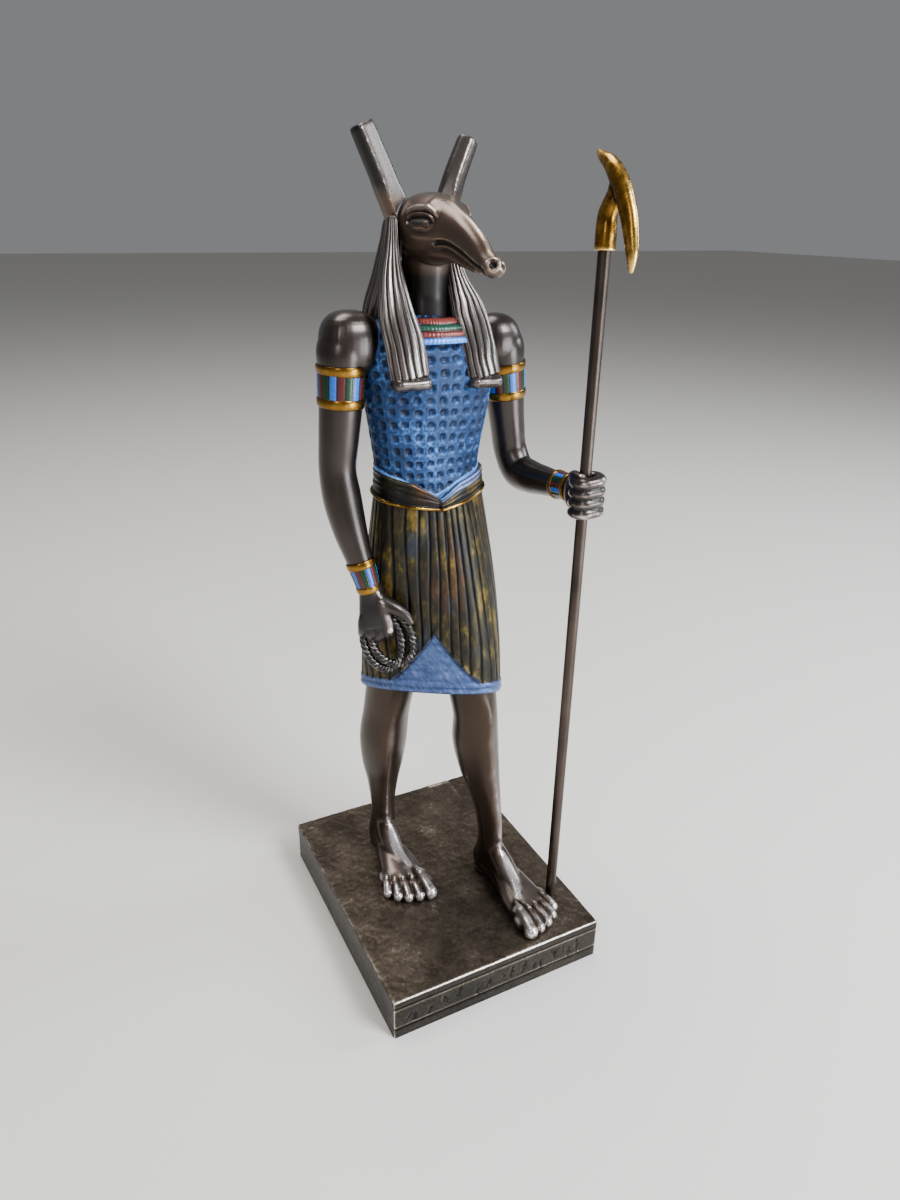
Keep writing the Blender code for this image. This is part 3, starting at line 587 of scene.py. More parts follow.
NECK = (
    (-0.4, 13.0, 224, 10.5, 9.0),
    (-0.3, 13.0, 229, 8.8, 8.4),
    (-0.3, 13.0, 234, 8.2, 8.0),
    (-0.6, 12.0, 240, 7.6, 7.8),
    (-1.0, 10.5, 248, 7.4, 7.8),
    (-1.2, 9.5, 254, 7.4, 7.8),
)
EAR_R = ((-9.2, 13.5, 256.5, 4.1, 3.4), (-13.2, 14.3, 266.2, 4.1, 3.5), (-20.7, 16.0, 283.1, 3.8, 3.4))
EAR_L = ((6.6, 13.5, 258.0, 3.6, 2.9), (9.2, 14.4, 265.5, 3.7, 3.2), (16.9, 17.4, 280.6, 3.4, 3.1))
EYE = (-1.4, 256.2)  # depth and height
EYE_HALF = 5.6
EAR_FOOT = 264  # the height where the skin of the ears begins
# Depths and heights along the mouth
MOUTH = (
    (-5.7, 250.0),
    (-8.8, 250.6),
    (-12.8, 250.4),
    (-17.6, 249.0),
    (-22.9, 247.0),
    (-27.5, 245.1),
    (-32.0, 243.9),
)


def ear(rows, ridge):
    """A tall square-ended ear: flat behind, with a ridge down its front."""
    stations = smooth_rows(rows, 60)
    _, across, back = frames(stations, (1, 0, 0))
    corners = ((1, -0.3), (1, 0.7), (0.75, 1), (-0.75, 1), (-1, 0.7), (-1, -0.3), (ridge, -1))
    outline = np.array(corners, float)
    share = np.linspace(0, 1, 7, False)[:, None]
    fine = np.concatenate([a + (b - a) * share for a, b in zip(outline, np.roll(outline, -1, 0))])
    return solid(spread(stations, stations[:, 3:4] * fine[:, 0], stations[:, 4:5] * fine[:, 1], across, back))


def curve_distance(y, z, places):
    """Distance in the plane of depth and height to a curve through places, and the share along it."""
    path = smooth_rows([(*p, 0) for p in places], 120)[:, :2]
    gaps = np.hypot(y[:, None] - path[:, 0], z[:, None] - path[:, 1])
    nearest = gaps.argmin(1)
    return gaps[np.arange(len(y)), nearest], nearest / (len(path) - 1)


def nearest_gap(points, line):
    """Each point's distance to a line of places."""
    gap = np.full(len(points), 99.0)
    for at in line:
        gap = np.minimum(gap, np.linalg.norm(points - at, axis=1))
    return gap


def carve_face(points, normals):
    """Eyes, brows, mouth and nostrils, as moves along the skin's normals."""
    x, y, z = points.T
    move = np.zeros(len(points))
    for sign in (-1, 1):
        near = (y < 12) & (sign * (x - X0) > 1)
        u = (y - EYE[0]) / EYE_HALF
        v = z - EYE[1] - 0.3 * u
        arch = dome(u**2)
        within = step(0, 0.12, 1.05 - np.abs(u))
        facing = np.clip(sign * normals[:, 0] * 1.4, 0, 1)
        brow = bell(v - 4.0 * dome((u / 1.3) ** 2) - 0.1, 0.9) * step(0, 0.3, 1.3 - np.abs(u))
        hollow = -1.7 * bell(u, 0.95) * bell(v - 0.9, 2.1)
        globe = 1.5 * dome((u / 0.72) ** 2 + ((v + 0.1) / 1.8) ** 2)
        upper = (1.15 * bell(v - 1.95 * arch - 0.2, 0.55) - 0.3 * bell(v - 1.25 * arch, 0.35)) * within
        lower = 0.55 * bell(v + 1.9 * arch, 0.45) * within
        bag = 0.3 * bell(v + 4.3, 1.2) * bell(u, 0.75)
        temple = 0.45 * bell(y + 3.4 - 0.7 * (z - 261), 1.1) * step(257.5, 260.5, z) * step(265, 262, z)
        move += near * facing * (hollow + globe + upper + lower + brow + bag + temple)
    gap, share = curve_distance(y, z, MOUTH)
    side = np.clip(np.abs(normals[:, 0]) * 1.5, 0, 1) * (np.abs(x - X0) > 1.6)
    move += side * (-1.0 * bell(gap, 0.48) + 0.12 * bell(gap - 1.1, 0.5)) * step(0, 0.06, share) * (y < -4.5)
    for sign in (-1, 1):
        pit = np.linalg.norm((points - (X0 + sign * 1.6, -35.2, 245.9)) / (0.95, 1.6, 1.15), axis=1)
        wing = np.linalg.norm((points - (X0 + sign * 3.0, -32.4, 246.2)) / (1.1, 1.3, 1.5), axis=1)
        move += -1.4 * bell(pit, 0.8) + 0.3 * bell(pit - 1.5, 0.45) * (y < -31) + 0.35 * bell(wing, 1.0)
    ridge = bell(x - X0, 0.9) * step(-2, -8, y) * (normals[:, 2] > 0.3)
    beside = bell(np.abs(x - X0) - 1.9, 0.8) * step(-12, -18, y) * (normals[:, 2] > 0.2)
    return move + 0.4 * ridge - 0.25 * beside


def head():
    parts = [
        solid(tube(HEAD, 64, 90, tips=(3.0, 3.2))),
        solid(tube(JAW, 48, 50, tips=(2, 1.2))),
        solid(tube(NECK, 56, 40)),
        ear(EAR_R, -0.6),
        ear(EAR_L, 0.0),
    ]
    skin = Skin(parts, HEAD_PITCH)
    ears = step(EAR_FOOT, EAR_FOOT + 4, skin.points[:, 2])[:, None]
    skin.points = skin.relaxed(rounds=9)
    # The ears' edges are rounded
    skin.points = skin.points * (1 - ears) + skin.averaged(skin.points, rounds=12) * ears
    for _ in range(2):
        normals = skin.normals()
        skin.points = skin.points + carve_face(skin.points, normals)[:, None] * normals / 2
    skin.points = skin.relaxed(rounds=1)
    x, y, z = skin.points.T
    along_eye, above_eye = (y - EYE[0]) / EYE_HALF, z - EYE[1]
    socket = bell(along_eye, 1.1) * bell(above_eye / 3.2, 1.0)
    globe = bell(along_eye, 0.5) * bell((above_eye + 0.1) / 1.8, 0.8)
    tip = step(-28, -34, y)
    ears = step(EAR_FOOT - 2, EAR_FOOT + 4, z)
    # The mask darkens the eye's socket and globe, the snout's tip and the ears
    relief = sharpened(skin.relief(blur=6)) * (1 - 0.2 * socket) * (1 - 0.85 * ears)
    relief = relief - 0.1 * socket - 1.3 * globe - 0.3 * tip - 0.45 * ears
    # A painted highlight runs down the front of each ear
    for rows, shift, amount in ((EAR_R, 0.15, 0.75), (EAR_L, -0.1, 0.6)):
        bright = [(row[0] + shift * row[3], row[1] - 0.85 * row[4], row[2]) for row in smooth_rows(rows, 40)]
        relief += amount * ears * bell(nearest_gap(skin.points, bright), 2.8)
    # Painted shade on the outward face of the right ear
    relief -= 0.45 * ears * step(-0.25, -0.7, skin.normals()[:, 0]) * (x < X0)
    relief = np.minimum(relief, 1 - 0.5 * ears)
    # Painted shade on the neck below the jaw
    relief -= 0.8 * step(244, 239, z)
    thing = piece("head", (skin.points, skin.faces), FACE, relief=np.clip(relief, -1, 1))
    thing.data.materials.append(HAIR)
    high = skin.points[skin.faces][:, :, 2].mean(1) > EAR_FOOT
    thing.data.polygons.foreach_set("material_index", high.astype(np.int32))


# Wig

WIG = (
    (-1.0, 15.0, 262.0, 7.6, 6.6),
    (-1.0, 15.2, 258.0, 11.2, 9.2),
    (-1.2, 15.6, 250.0, 13.2, 10.6),
    (-1.2, 16.6, 240.0, 15.9, 11.2),
    (-0.6, 19.0, 230.0, 19.2, 10.4),
    (0, 21.4, 221.0, 19.0, 7.6),
    (0, 22.6, 210.0, 16.6, 5.6),
    (0, 22.4, 203.5, 15.8, 5.2),
)
LAPPET_R = (
    (-14.1, 9.5, 256.0, 1.4, 2.2),
    (-15.6, 7.2, 245.0, 2.8, 3.4),
    (-16.5, 4.4, 238.0, 4.1, 4.0),
    (-16.3, 1.4, 229.0, 5.5, 4.2),
    (-14.0, -0.4, 219.0, 6.3, 4.0),
    (-12.7, -1.4, 210.0, 6.4, 3.6),
)
LAPPET_L = (
    (6.8, 8.6, 246.0, 2.2, 2.6),
    (7.8, 7.0, 239.0, 3.2, 3.4),
    (10.2, 3.6, 230.0, 5.4, 4.0),
    (12.6, 0.6, 218.5, 5.9, 4.0),
    (14.6, -0.8, 209.0, 5.9, 3.6),
)
BAND_TALL = 4.4


def strand_relief(angles, along, count, depth, seed):
    """Rounded strands with grooves between, which waver a little, and finer hairs on them: (relief, mask)."""
    rng = np.random.default_rng(seed)
    along = along[:, None]
    waver = 0
    for _ in range(3):
        waver = waver + rng.uniform(0.05, 0.16) * np.sin(along * rng.uniform(2, 7) + rng.uniform(0, 6))
    phase = angles * count + waver * 2.2 + 0.6 * np.sin(angles * 3 + along * 1.5)
    strand = np.round(phase / math.tau)
    groove = bell(np.cos(phase / 2), 0.24)
    broad = 0.5 + 0.5 * np.cos(phase)
    hairs = np.cos(phase * 3 + 0.7) * np.sin(along * 1.7 + strand * 2.1)
    streaks = np.sin(strand * 5.1 + along * 1.1)
    relief = depth * (0.35 * broad - groove + 0.06 * hairs)
    return relief, np.clip(0.25 * streaks + 0.12 * hairs + 0.40 * broad - 0.05 - 1.4 * groove, -1, 1)


def wig():
    segments, count = 300, 80
    relief, mask = strand_relief(turns(segments), np.linspace(0, 6, count), 26, 0.75, 4)
    fade = step(0, 14, np.arange(count))[:, None]
    rings = tube(WIG, segments, count, power=2.2, relief=relief * fade)
    # In front it is hollowed for the neck
    near_neck = step(11.0, 8.8, np.abs(rings[..., 0] + 0.6)) * step(252, 248, rings[..., 2])
    rings[..., 1] += near_neck * np.maximum(14.5 - rings[..., 1], 0)
    piece("wig", solid(rings), HAIR, relief=with_ends(mask * fade))
    for name, path, seed in (("right", LAPPET_R, 11), ("left", LAPPET_L, 12)):
        segments, count = 200, 76
        relief, mask = strand_relief(turns(segments), np.linspace(0, 5, count), 15, 0.62, seed)
        rings = tube(path, segments, count, power=2.6, relief=relief, tips=(2.0, 0))
        mask = np.vstack([np.repeat(mask[:1], len(rings) - count, 0), mask])
        # The lappets are painted lighter towards the bottom
        mask = mask + 0.35 * np.linspace(0, 1, len(mask))[:, None]
        piece(f"lappet_{name}", solid(rings), HAIR, relief=with_ends(mask))
        x, y, foot, wide, deep = path[-1]
        z = foot - BAND_TALL / 2 + 0.5
        ends = [(x + s * (wide - 2.0), y - 0.4, z, BAND_TALL * 0.55, deep + 0.7) for s in (-1, 1)]
        rings = tube(ends, 48, 44, side=(0, 0, 1), tips=(2.4, 2.4))
        dents = noise_at(rings.reshape(-1, 3), 2.4, seed).reshape(rings.shape[:2])
        rings += 0.16 * dents[..., None] * unit(rings - rings.mean(1, keepdims=True))
        piece(f"lappet_band_{name}", solid(rings), HAIR, relief=with_ends(0.25 + 0.5 * dents))


# Waist

PIPING_R = 0.55
WAIST = (-1.3, 9.5)  # its middle
WAIST_HALF = (18.9, 12.4)  # its half sizes at its top, which grow downwards
WAIST_TOP = 173.5
# Heights of the sash's edges, by degrees from the front
SASH_TOP = ((-180, 177.0), (-85, 177.6), (-45, 174.6), (-6, 168.6), (26, 173.4), (73, 176.6))
SASH_LOW = ((-180, 170.5), (-85, 167.6), (-45, 165.8), (-22, 165.0), (-4, 164.6), (30, 165.8), (70, 168.6))


def round_waist(degrees, marks):
    values = np.interp(degrees, *zip(*marks), period=360)
    for _ in range(6):
        values = (np.roll(values, 1) + values * 2 + np.roll(values, -1)) / 4
    return values


# Corselet and collar

TORSO_POWER = 2.25
TORSO = (
    (-1.4, 9.4, 163, 17.4, 11.2),
    (-1.5, 9.6, 169, 18.3, 11.8),
    (-1.5, 9.8, 176, 18.7, 12.1),
    (-1.3, 10.2, 189, 20.6, 12.7),
    (-0.8, 10.8, 200, 22.6, 13.5),
    (-0.5, 11.3, 210, 23.8, 13.8),
    (-0.5, 12.0, 218, 24.4, 13.0),
    (-0.5, 12.6, 224, 21.5, 11.2),
    (-0.3, 13.0, 227, 13.5, 9.4),
)
PIT_PITCH = 4.15
PIT_HALF = 0.30  # of the pitch
PIT_DEPTH = 0.8
COLLAR = (
    (0, 11.6, 228.0, 10.0, 9.8),
    (0, 11.6, 225.8, 11.8, 11.5),
    (0, 11.5, 223, 14.0, 13.2),
    (0, 11.3, 219.4, 16.5, 14.2),
)
COLLAR_ROWS = 4


def corselet():
    segments, count = 360, 144
    rings = tube(TORSO, segments, count, power=TORSO_POWER)
    span = np.linalg.norm(np.diff(rings, axis=1, append=rings[:, :1]), axis=2)
    around = np.cumsum(span.mean(0))
    columns = round(around[-1] / PIT_PITCH)
    column = np.broadcast_to(around / around[-1] * columns, (count, segments))
    row = np.broadcast_to((rings[:, :, 2].mean(1) / PIT_PITCH)[:, None], (count, segments))
    cell_c, cell_r = np.floor(column).astype(int) % columns, np.floor(row).astype(int)
    table = np.random.default_rng(7).uniform(-1, 1, (4, columns, 90))
    shift_c, shift_r, wide, deep = (t[cell_c, cell_r] for t in table)
    u = (column % 1 - 0.5 + 0.07 * shift_c) / (PIT_HALF * (1 + 0.14 * wide))
    v = (row % 1 - 0.5 + 0.07 * shift_r) / (PIT_HALF * (1 - 0.12 * wide))
    reach = (np.abs(u) ** 2.8 + np.abs(v) ** 2.8) ** (1 / 2.8)
    above = rings[:, :, 2] - round_waist(np.degrees(turns(segments)) + 90, SASH_TOP)
    trim = step(1.7, 1.25, above)
    pit = (1 - step(0.45, 1.25, reach)) * (1 - trim)
    lip = bell(reach - 1.35, 0.22) * (1 - trim)
    wash = noise_at(rings.reshape(-1, 3), 5.0, 8).reshape(count, segments)
    relief = -PIT_DEPTH * (1 + 0.3 * deep) * pit + 0.12 * lip + 0.45 * trim
    rings = tube(TORSO, segments, count, power=TORSO_POWER, relief=relief)
    # Each pit's edge gets painted shade on its upper side and a painted highlight on its lower side
    edge = bell(reach - 0.8, 0.28) * (1 - trim)
    lit = np.clip(0.5 * u - 0.85 * v, -1, 1)
    mask = 0.30 * wash - 0.38 * pit + 0.55 * edge * lit + 0.12 * lip + 0.75 * trim
    mask = mask - 0.5 * bell(above - 2.0, 0.35)
    piece("corselet", solid(rings), CORSELET_BLUE, relief=with_ends(mask))


def collar():
    segments, count = 300, 36
    share = np.linspace(0, COLLAR_ROWS, count, endpoint=False)[:, None]
    row = np.floor(share)
    hump = dome((2 * (share - row) - 1) ** 2)
    beads = 1 - 0.35 * (np.abs(np.cos(turns(segments) * 35 + row * 1.3)) < 0.35)
    rings = tube(COLLAR, segments, count, power=2.2, relief=0.62 * hump * beads)
    row = np.broadcast_to(row + 0.5, rings.shape[:2])
    piece("collar", solid(rings), BEADS, relief=with_ends(hump * beads * 1.6 - 0.9), row=with_ends(row))


# Kilt, sash and rope

KILT = (
    (-1.2, 9.4, 173.0, 19.0, 12.4, 0),
    (-0.9, 9.2, 160.0, 20.8, 14.0, -6),
    (-0.6, 8.8, 145.0, 22.9, 15.2, -14),
    (-0.3, 8.4, 125.0, 25.2, 16.0, -24),
    (0, 8.0, 105.0, 26.7, 15.8, -32),
    (0, 8.0, 92.5, 27.4, 15.4, -36),
    (0, 8.0, 88.0, 27.6, 15.3, -37),
)
KILT_POWER = 2.35
PLEATS = 36
PLEAT_DEPTH = 0.6
HEM_TALL = 4.4
HEM_RISE = 0.34
RISE_WAY = (-0.5, -0.866)  # the direction in which the hem rises
RISE_TOP = 160  # the height where the rise ends
HEM_TURN = ((0.25, -0.35), (0.9, -0.5), (1.5, -0.2), (1.8, 0.6), (2.2, 2.4), (8.0, 2.8))  # insets and rises
APRON = ((-5.3, -6.9, 118.4), (-20.0, 5.0, 97.0), (13.0, -14.2, 98.9))  # its peak and its two feet


def plan_radius(row, bearing):
    """Distance from a row's middle to the kilt's wall along a bearing."""
    turn = np.radians(row[:, 5:6])
    c, s = np.cos(bearing - turn), np.sin(bearing - turn)
    return oval(c / row[:, 3:4], s / row[:, 4:5], KILT_POWER)


def kilt():
    segments, count = 440, 104
    rows = smooth_rows(KILT, count)
    even = turns(4000, -math.pi / 2)
    hem = plan_radius(rows[-1:], even)[0]
    edge = np.array((hem * np.cos(even), hem * np.sin(even)))
    way = np.cumsum(np.hypot(*np.diff(edge, axis=1, prepend=0)))
    way -= way[0]
    share = np.arange(segments) / segments
    bearing = np.interp(share * way[-1], way, even)[None, :]
    foot = rows[-1, 2]
    level = rows[:, 2:3] + 0 * bearing
    radius = plan_radius(rows, bearing)
    above = level - foot
    # The apron shows below two edges that fall from its peak
    middle, left, right = (math.atan2(y - 8, x) for x, y, _ in APRON)
    swing = wrapped(bearing - middle)
    left, right = wrapped(left - middle), wrapped(right - middle)
    down = np.where(swing < 0, swing / left, swing / right)
    peak, feet = APRON[0][2], (APRON[1][2] + APRON[2][2]) / 2 - 3
    border = peak - (peak - feet) * np.clip(down, 0, 1.4) ** 0.95
    tilt = np.maximum(RISE_WAY[0] * radius * np.cos(bearing) + RISE_WAY[1] * radius * np.sin(bearing), 0)
    weight = np.clip((RISE_TOP - level) / (RISE_TOP - foot), 0, 1)
    z = level + HEM_RISE * tilt * weight
    blue_apron = step(0.5, -0.5, z - border) * (down < 1.4)
    hem_mask = step(HEM_TALL + 0.35, HEM_TALL - 0.05, above)
    blue = np.maximum(blue_apron, hem_mask)
    phase = share * PLEATS + 0.10 * np.sin(share * 40) + 0.07 * np.sin(level / 9 + share * 60)
    groove = bell(phase - np.round(phase), 0.075)
    rib = np.cos((phase - np.floor(phase) - 0.5) * math.pi) ** 0.5
    pleat = (-PLEAT_DEPTH * groove + 0.22 * rib) * (1 - blue) * step(173.0, 166.0, level)
    lip = 0.5 * bell(z - border - 0.8, 0.6) * (1 - blue) * (np.abs(down) < 1.25)
    hem_form = 0.45 * hem_mask * dome(((above - HEM_TALL / 2) / (HEM_TALL / 2 + 0.3)) ** 4)
    bead = 0.35 * bell(above - HEM_TALL + 0.7, 0.45) - 0.25 * bell(above - HEM_TALL + 1.7, 0.4)
    bead = bead + 0.2 * bell(above - 0.8, 0.5)
    place = np.stack([share * 30 + 0 * z, z * 1.3, 0 * z], -1).reshape(-1, 3)
    weave = noise_at(place, 0.9, 3).reshape(z.shape)
    # Behind the sash the wall is drawn in
    belt = sum(round_waist(np.degrees(bearing[0]) + 90, marks) for marks in (SASH_TOP, SASH_LOW)) / 2
    relief = pleat + lip - 2.0 * step(-0.6, 0.6, level - belt) - 0.55 * blue_apron * (1 - hem_mask)
    radius = radius + (relief + hem_form + bead * hem_mask + 0.05 * weave * blue)
    rings = np.stack([rows[:, :1] + radius * np.cos(bearing), rows[:, 1:2] + radius * np.sin(bearing), z], -1)
    # The wall turns in under the hem to a hollow underside
    outward = unit((rings[-1] - rings[-1].mean(0)) * (1, 1, 0))
    lower = [rings[-1] - outward * inset + (0, 0, rise) for inset, rise in HEM_TURN]
    rings = np.concatenate([rings, lower])[::-1]
    mask = np.where(blue > 0.5, 0.02 + 1.1 * bead * hem_mask + 0.16 * weave, 0.35 * rib - 1.6 * groove - 0.12)
    mask = mask + 0.7 * lip - 0.8 * bell(z - border + 0.5, 0.4) * (np.abs(down) < 1.2) * (1 - hem_mask)
    # The turned-in underside is painted dark, as shade
    under = np.ones((len(HEM_TURN), segments))
    mask = np.concatenate([mask, -0.5 * under])[::-1]
    blue = np.concatenate([blue, under])[::-1]
    piece("kilt", solid(rings), KILT_CLOTH, relief=with_ends(mask), blue=with_ends(blue))


def sash():
    """A flat folded band. It dips to the corselet's point in front, and its left half laps over the right."""
    count, across = 320, 34
    bearing = turns(count, -math.pi)
    degrees = np.degrees(bearing)
    top, low = (round_waist(degrees, marks)[:, None] for marks in (SASH_TOP, SASH_LOW))
    t = np.linspace(0, 1, across)[None, :]
    z = top + (low - top) * t
    over = (step(-9, -4, degrees) * step(120, 90, degrees))[:, None]
    drift = 0.025 * np.sin(bearing[:, None] * 5 + t * 4)
    edges = 0.45 * bell(t - 0.05, 0.05) + 0.5 * bell(t - 0.90 + drift, 0.05)
    lapped = 0.35 * bell(t - 0.24 + drift, 0.05) + 0.35 * bell(t - 0.42 - drift, 0.05)
    lapped = lapped + 0.3 * bell(t - 0.62, 0.04)
    single = 0.22 * bell(t - 0.5 + 2 * drift, 0.07) + 0.15 * bell(t - 0.3 - drift, 0.05)
    folds = edges - 0.25 * bell(t - 0.79 + drift, 0.04) + over * lapped + (1 - over) * single
    proud = 0.75 * np.clip(1 - np.abs(2 * t - 1) ** 9, 0, 1) + folds + 0.5 * over
    down = np.maximum(WAIST_TOP - z, 0)
    wide, deep = WAIST_HALF[0] + 0.13 * down, WAIST_HALF[1] + 0.12 * down
    sine, cosine = np.sin(bearing)[:, None], np.cos(bearing)[:, None]
    waist = oval(sine / wide, cosine / deep, 2.3)

    def wall(r):
        return np.stack([WAIST[0] + r * sine, WAIST[1] - r * cosine, z], -1)

    rings = np.concatenate([wall(waist + proud), wall(waist - 1.2)[:, ::-6]], axis=1)
    mask = np.concatenate([1.9 * folds - 0.25 - 0.35 * (t > 0.95), 0 * z[:, ::-6]], axis=1)
    shape = (rings.reshape(-1, 3), quads(count, rings.shape[1], wrap=True))
    blue = np.zeros(mask.shape)
    blue[:, :across] = 0.9 * over * step(0.34, 0.26, t) * step(75, 55, degrees)[:, None]
    mask[:, :across] -= 0.25 * (blue[:, :across] < 0.2) * (t > 0.3) * (t < 0.85)
    piece("sash", shape, KILT_CLOTH, relief=mask.ravel(), blue=blue.ravel())
    # Gilt piping along the lower fold
    line = wall(waist + proud)[:, round(0.88 * across)]
    outward = unit((line - line.mean(0)) * (1, 1, 0))
    segments = 10
    c, s = np.cos(turns(segments)), np.sin(turns(segments))
    piping = line[:, None] + PIPING_R * (c[:, None] * outward[:, None] + np.outer(s, (0, 0, 1)))
    shape = (piping.reshape(-1, 3), quads(count, segments, wrap=True))
    shine = np.broadcast_to(0.35 * np.sin(bearing * 9)[:, None] + 0.1 * c, piping.shape[:2])
    piece("sash_piping", shape, GOLD, "old_gold", relief=shine.ravel())


ROPE_R = 1.5
COIL_ALONG = (0.87, -0.49, 0)
COIL_OUT = (-0.49, -0.87, 0)
COILS = (
    ((-23.6, 0.0, 116.4), 7.0, 11.6, -0.10),
    ((-20.9, -1.9, 117.8), 7.7, 10.6, -0.16),
)


def rope():
    """Two turns of three-strand rope, hung from the hand."""
    along, out, up = (np.array(v, float) for v in (COIL_ALONG, COIL_OUT, (0, 0, 1)))
    count, segments, twists = 230, 22, 16
    angles = turns(segments)
    parts, masks = [], []
    for middle, wide, tall, lean in COILS:
        t = turns(count)
        c, s = np.cos(t)[:, None], np.sin(t)[:, None]
        centre = np.array(middle) + along * (wide * c + lean * tall * s) + up * tall * s
        outward = unit(along * c / wide + up * s / tall)
        strand = np.abs(np.cos(1.5 * (angles[None, :] - t[:, None] * twists * 2 / 3)))
        r = ROPE_R * (0.70 + 0.36 * strand**0.55)
        wide, deep = (r * np.cos(angles))[..., None], (r * np.sin(angles))[..., None]
        rings = centre[:, None] + wide * outward[:, None] + deep * out
        parts.append((rings.reshape(-1, 3), quads(count, segments, wrap=True).tolist()))
        # The strands' crests are painted bright, as glints
        masks.append((strand * 1.5 - 1.0 + 0.25 * np.sin(t[:, None] * 9 + angles)).ravel())
    piece("rope", joined(parts), ROPE, relief=np.concatenate(masks))


# Arms

# Middle, half sizes and squareness
SHOULDER_R = ((-28.0, 12.4, 220.0), (9.9, 9.2, 10.2), 2.5)
SHOULDER_L = ((26.0, 12.0, 218.2), (8.7, 8.8, 9.4), 2.3)
ARM_R = (
    (-27.0, 12.0, 223.5, 6.5, 7.0),
    (-30.4, 12.0, 219.0, 8.2, 8.6),
    (-31.4, 12.0, 211.0, 7.6, 8.2),
    (-32.1, 12.0, 200.0, 7.2, 7.6),
    (-33.0, 12.4, 189.0, 6.8, 7.1),
    (-33.7, 12.8, 178.0, 6.4, 6.8),
    (-33.0, 11.6, 169.0, 6.7, 7.0),
    (-31.6, 8.8, 158.0, 6.0, 6.4),
    (-29.5, 5.4, 147.0, 4.7, 5.0),
    (-27.6, 3.0, 137.5, 3.7, 4.3),
    (-27.0, 2.0, 132.0, 3.0, 2.4),
)
ARM_L = (
    (26.0, 12.0, 222.0, 6.5, 7.0),
    (28.0, 12.0, 217.5, 8.0, 8.6),
    (29.6, 12.0, 209.0, 7.4, 8.2),
    (31.2, 12.0, 198.0, 6.7, 7.4),
    (32.8, 12.0, 187.0, 6.1, 7.0),
    (34.2, 11.6, 178.5, 5.9, 6.8),
    (35.4, 7.2, 171.8, 5.9, 6.6),
    (36.4, 0.0, 170.9, 5.9, 6.0),
    (37.0, -8.0, 171.5, 5.0, 5.3),
    (37.3, -15.0, 172.2, 4.2, 4.7),
    (37.5, -22.0, 173.0, 3.8, 4.5),
    (37.4, -27.5, 173.5, 4.0, 5.0),
)
HAND_WIDE = (0.87, -0.49, 0)
HAND_R = (
    (-27.2, 2.6, 139.0, 3.7, 3.8),
    (-26.8, 1.6, 133.0, 4.6, 3.4),
    (-26.4, 0.4, 127.0, 5.5, 3.2),
    (-26.3, 0.0, 123.5, 5.5, 3.0),
)
KNUCKLES = ((-30.3, 2.4, 120.2), (-27.7, 0.9, 118.7), (-25.0, -0.7, 118.5), (-22.3, -2.3, 120.0))
THUMB_R = (
    (-25.8, 1.2, 133.6),
    (-22.6, -1.8, 131.6),
    (-19.4, -4.5, 129.8),
    (-16.9, -5.9, 127.6),
    (-15.4, -6.8, 125.2),
)
# Places along the thumb, from the staff's axis at the height of the fist's middle
THUMB_L = ((-0.4, 5.4, 4.6), (-2.6, 2.2, 6.2), (-2.8, -1.8, 6.3))
FINGER = 1.85  # a finger's radius
# Bearings round the staff along a closed finger, in degrees, and how far it stands out at each
FINGER_WAY = ((40, 0.2), (-5, 0.9), (-45, 1.1), (-85, 0.2), (-125, 0.5), (-160, 0.2), (-190, 0.2))
FINGER_PITCH = 3.45


def right_arm():
    parts = [solid(tube(ARM_R, 56, 110)), ball(*SHOULDER_R)]
    parts.append(solid(tube(HAND_R, 44, 36, side=HAND_WIDE, power=2.1, tips=(0, 2.0))))
    for x, y, z in KNUCKLES:
        places = [
            (x * 0.7 - 26.6 * 0.3, y * 0.7 - 0.3, z + 9.5),
            (x, y - 0.6, z + 4.6),
            (x + 0.1, y - 0.4, z + 0.8),
            (x + 0.6, y + 1.4, z - 0.8),
            (x + 1.5, y + 3.2, z - 1.0),
            (x + 2.2, y + 4.6, z + 1.0),
        ]
        parts.append(capsule(places, (1.6, 1.9, 2.0, 1.95, 1.8, 1.6), rings=30))
    parts.append(capsule(THUMB_R, (2.9, 2.9, 2.3, 1.8, 1.4), rings=30))
    parts.append(capsule([(-26.2, 0.4, 138.0), (-24.2, -1.9, 129.5), (-22.4, -3.2, 122.0)], (1.5, 1.9, 2.0)))
    skin = Skin(parts, ARM_R_PITCH)
    skin.points = skin.relaxed(rounds=6)
    skin.points = skin.filleted(rounds=9, share=0.8)
    x, _, z = skin.points.T
    # Painted shade darkens the hand below the bracelet
    relief = sharpened(skin.relief(blur=5)) * 0.8 - 0.58 * step(138, 134, z)
    # A painted highlight runs along the edge of the forefinger, and the thumb's end is darkened a little more
    edge = [(-25.6, -2.4, 136.0), (-24.0, -4.0, 129.5), (-22.6, -5.2, 122.5)]
    shine = bell(nearest_gap(skin.points, smooth_rows(edge, 30)), 1.7)
    relief = np.clip(relief + 1.15 * shine * step(118.5, 123, z), -1, 1) - 0.10 * step(-21.5, -19.0, x)
    piece("right_arm", (skin.points, skin.faces), SKIN, relief=np.clip(relief, -1, 1))


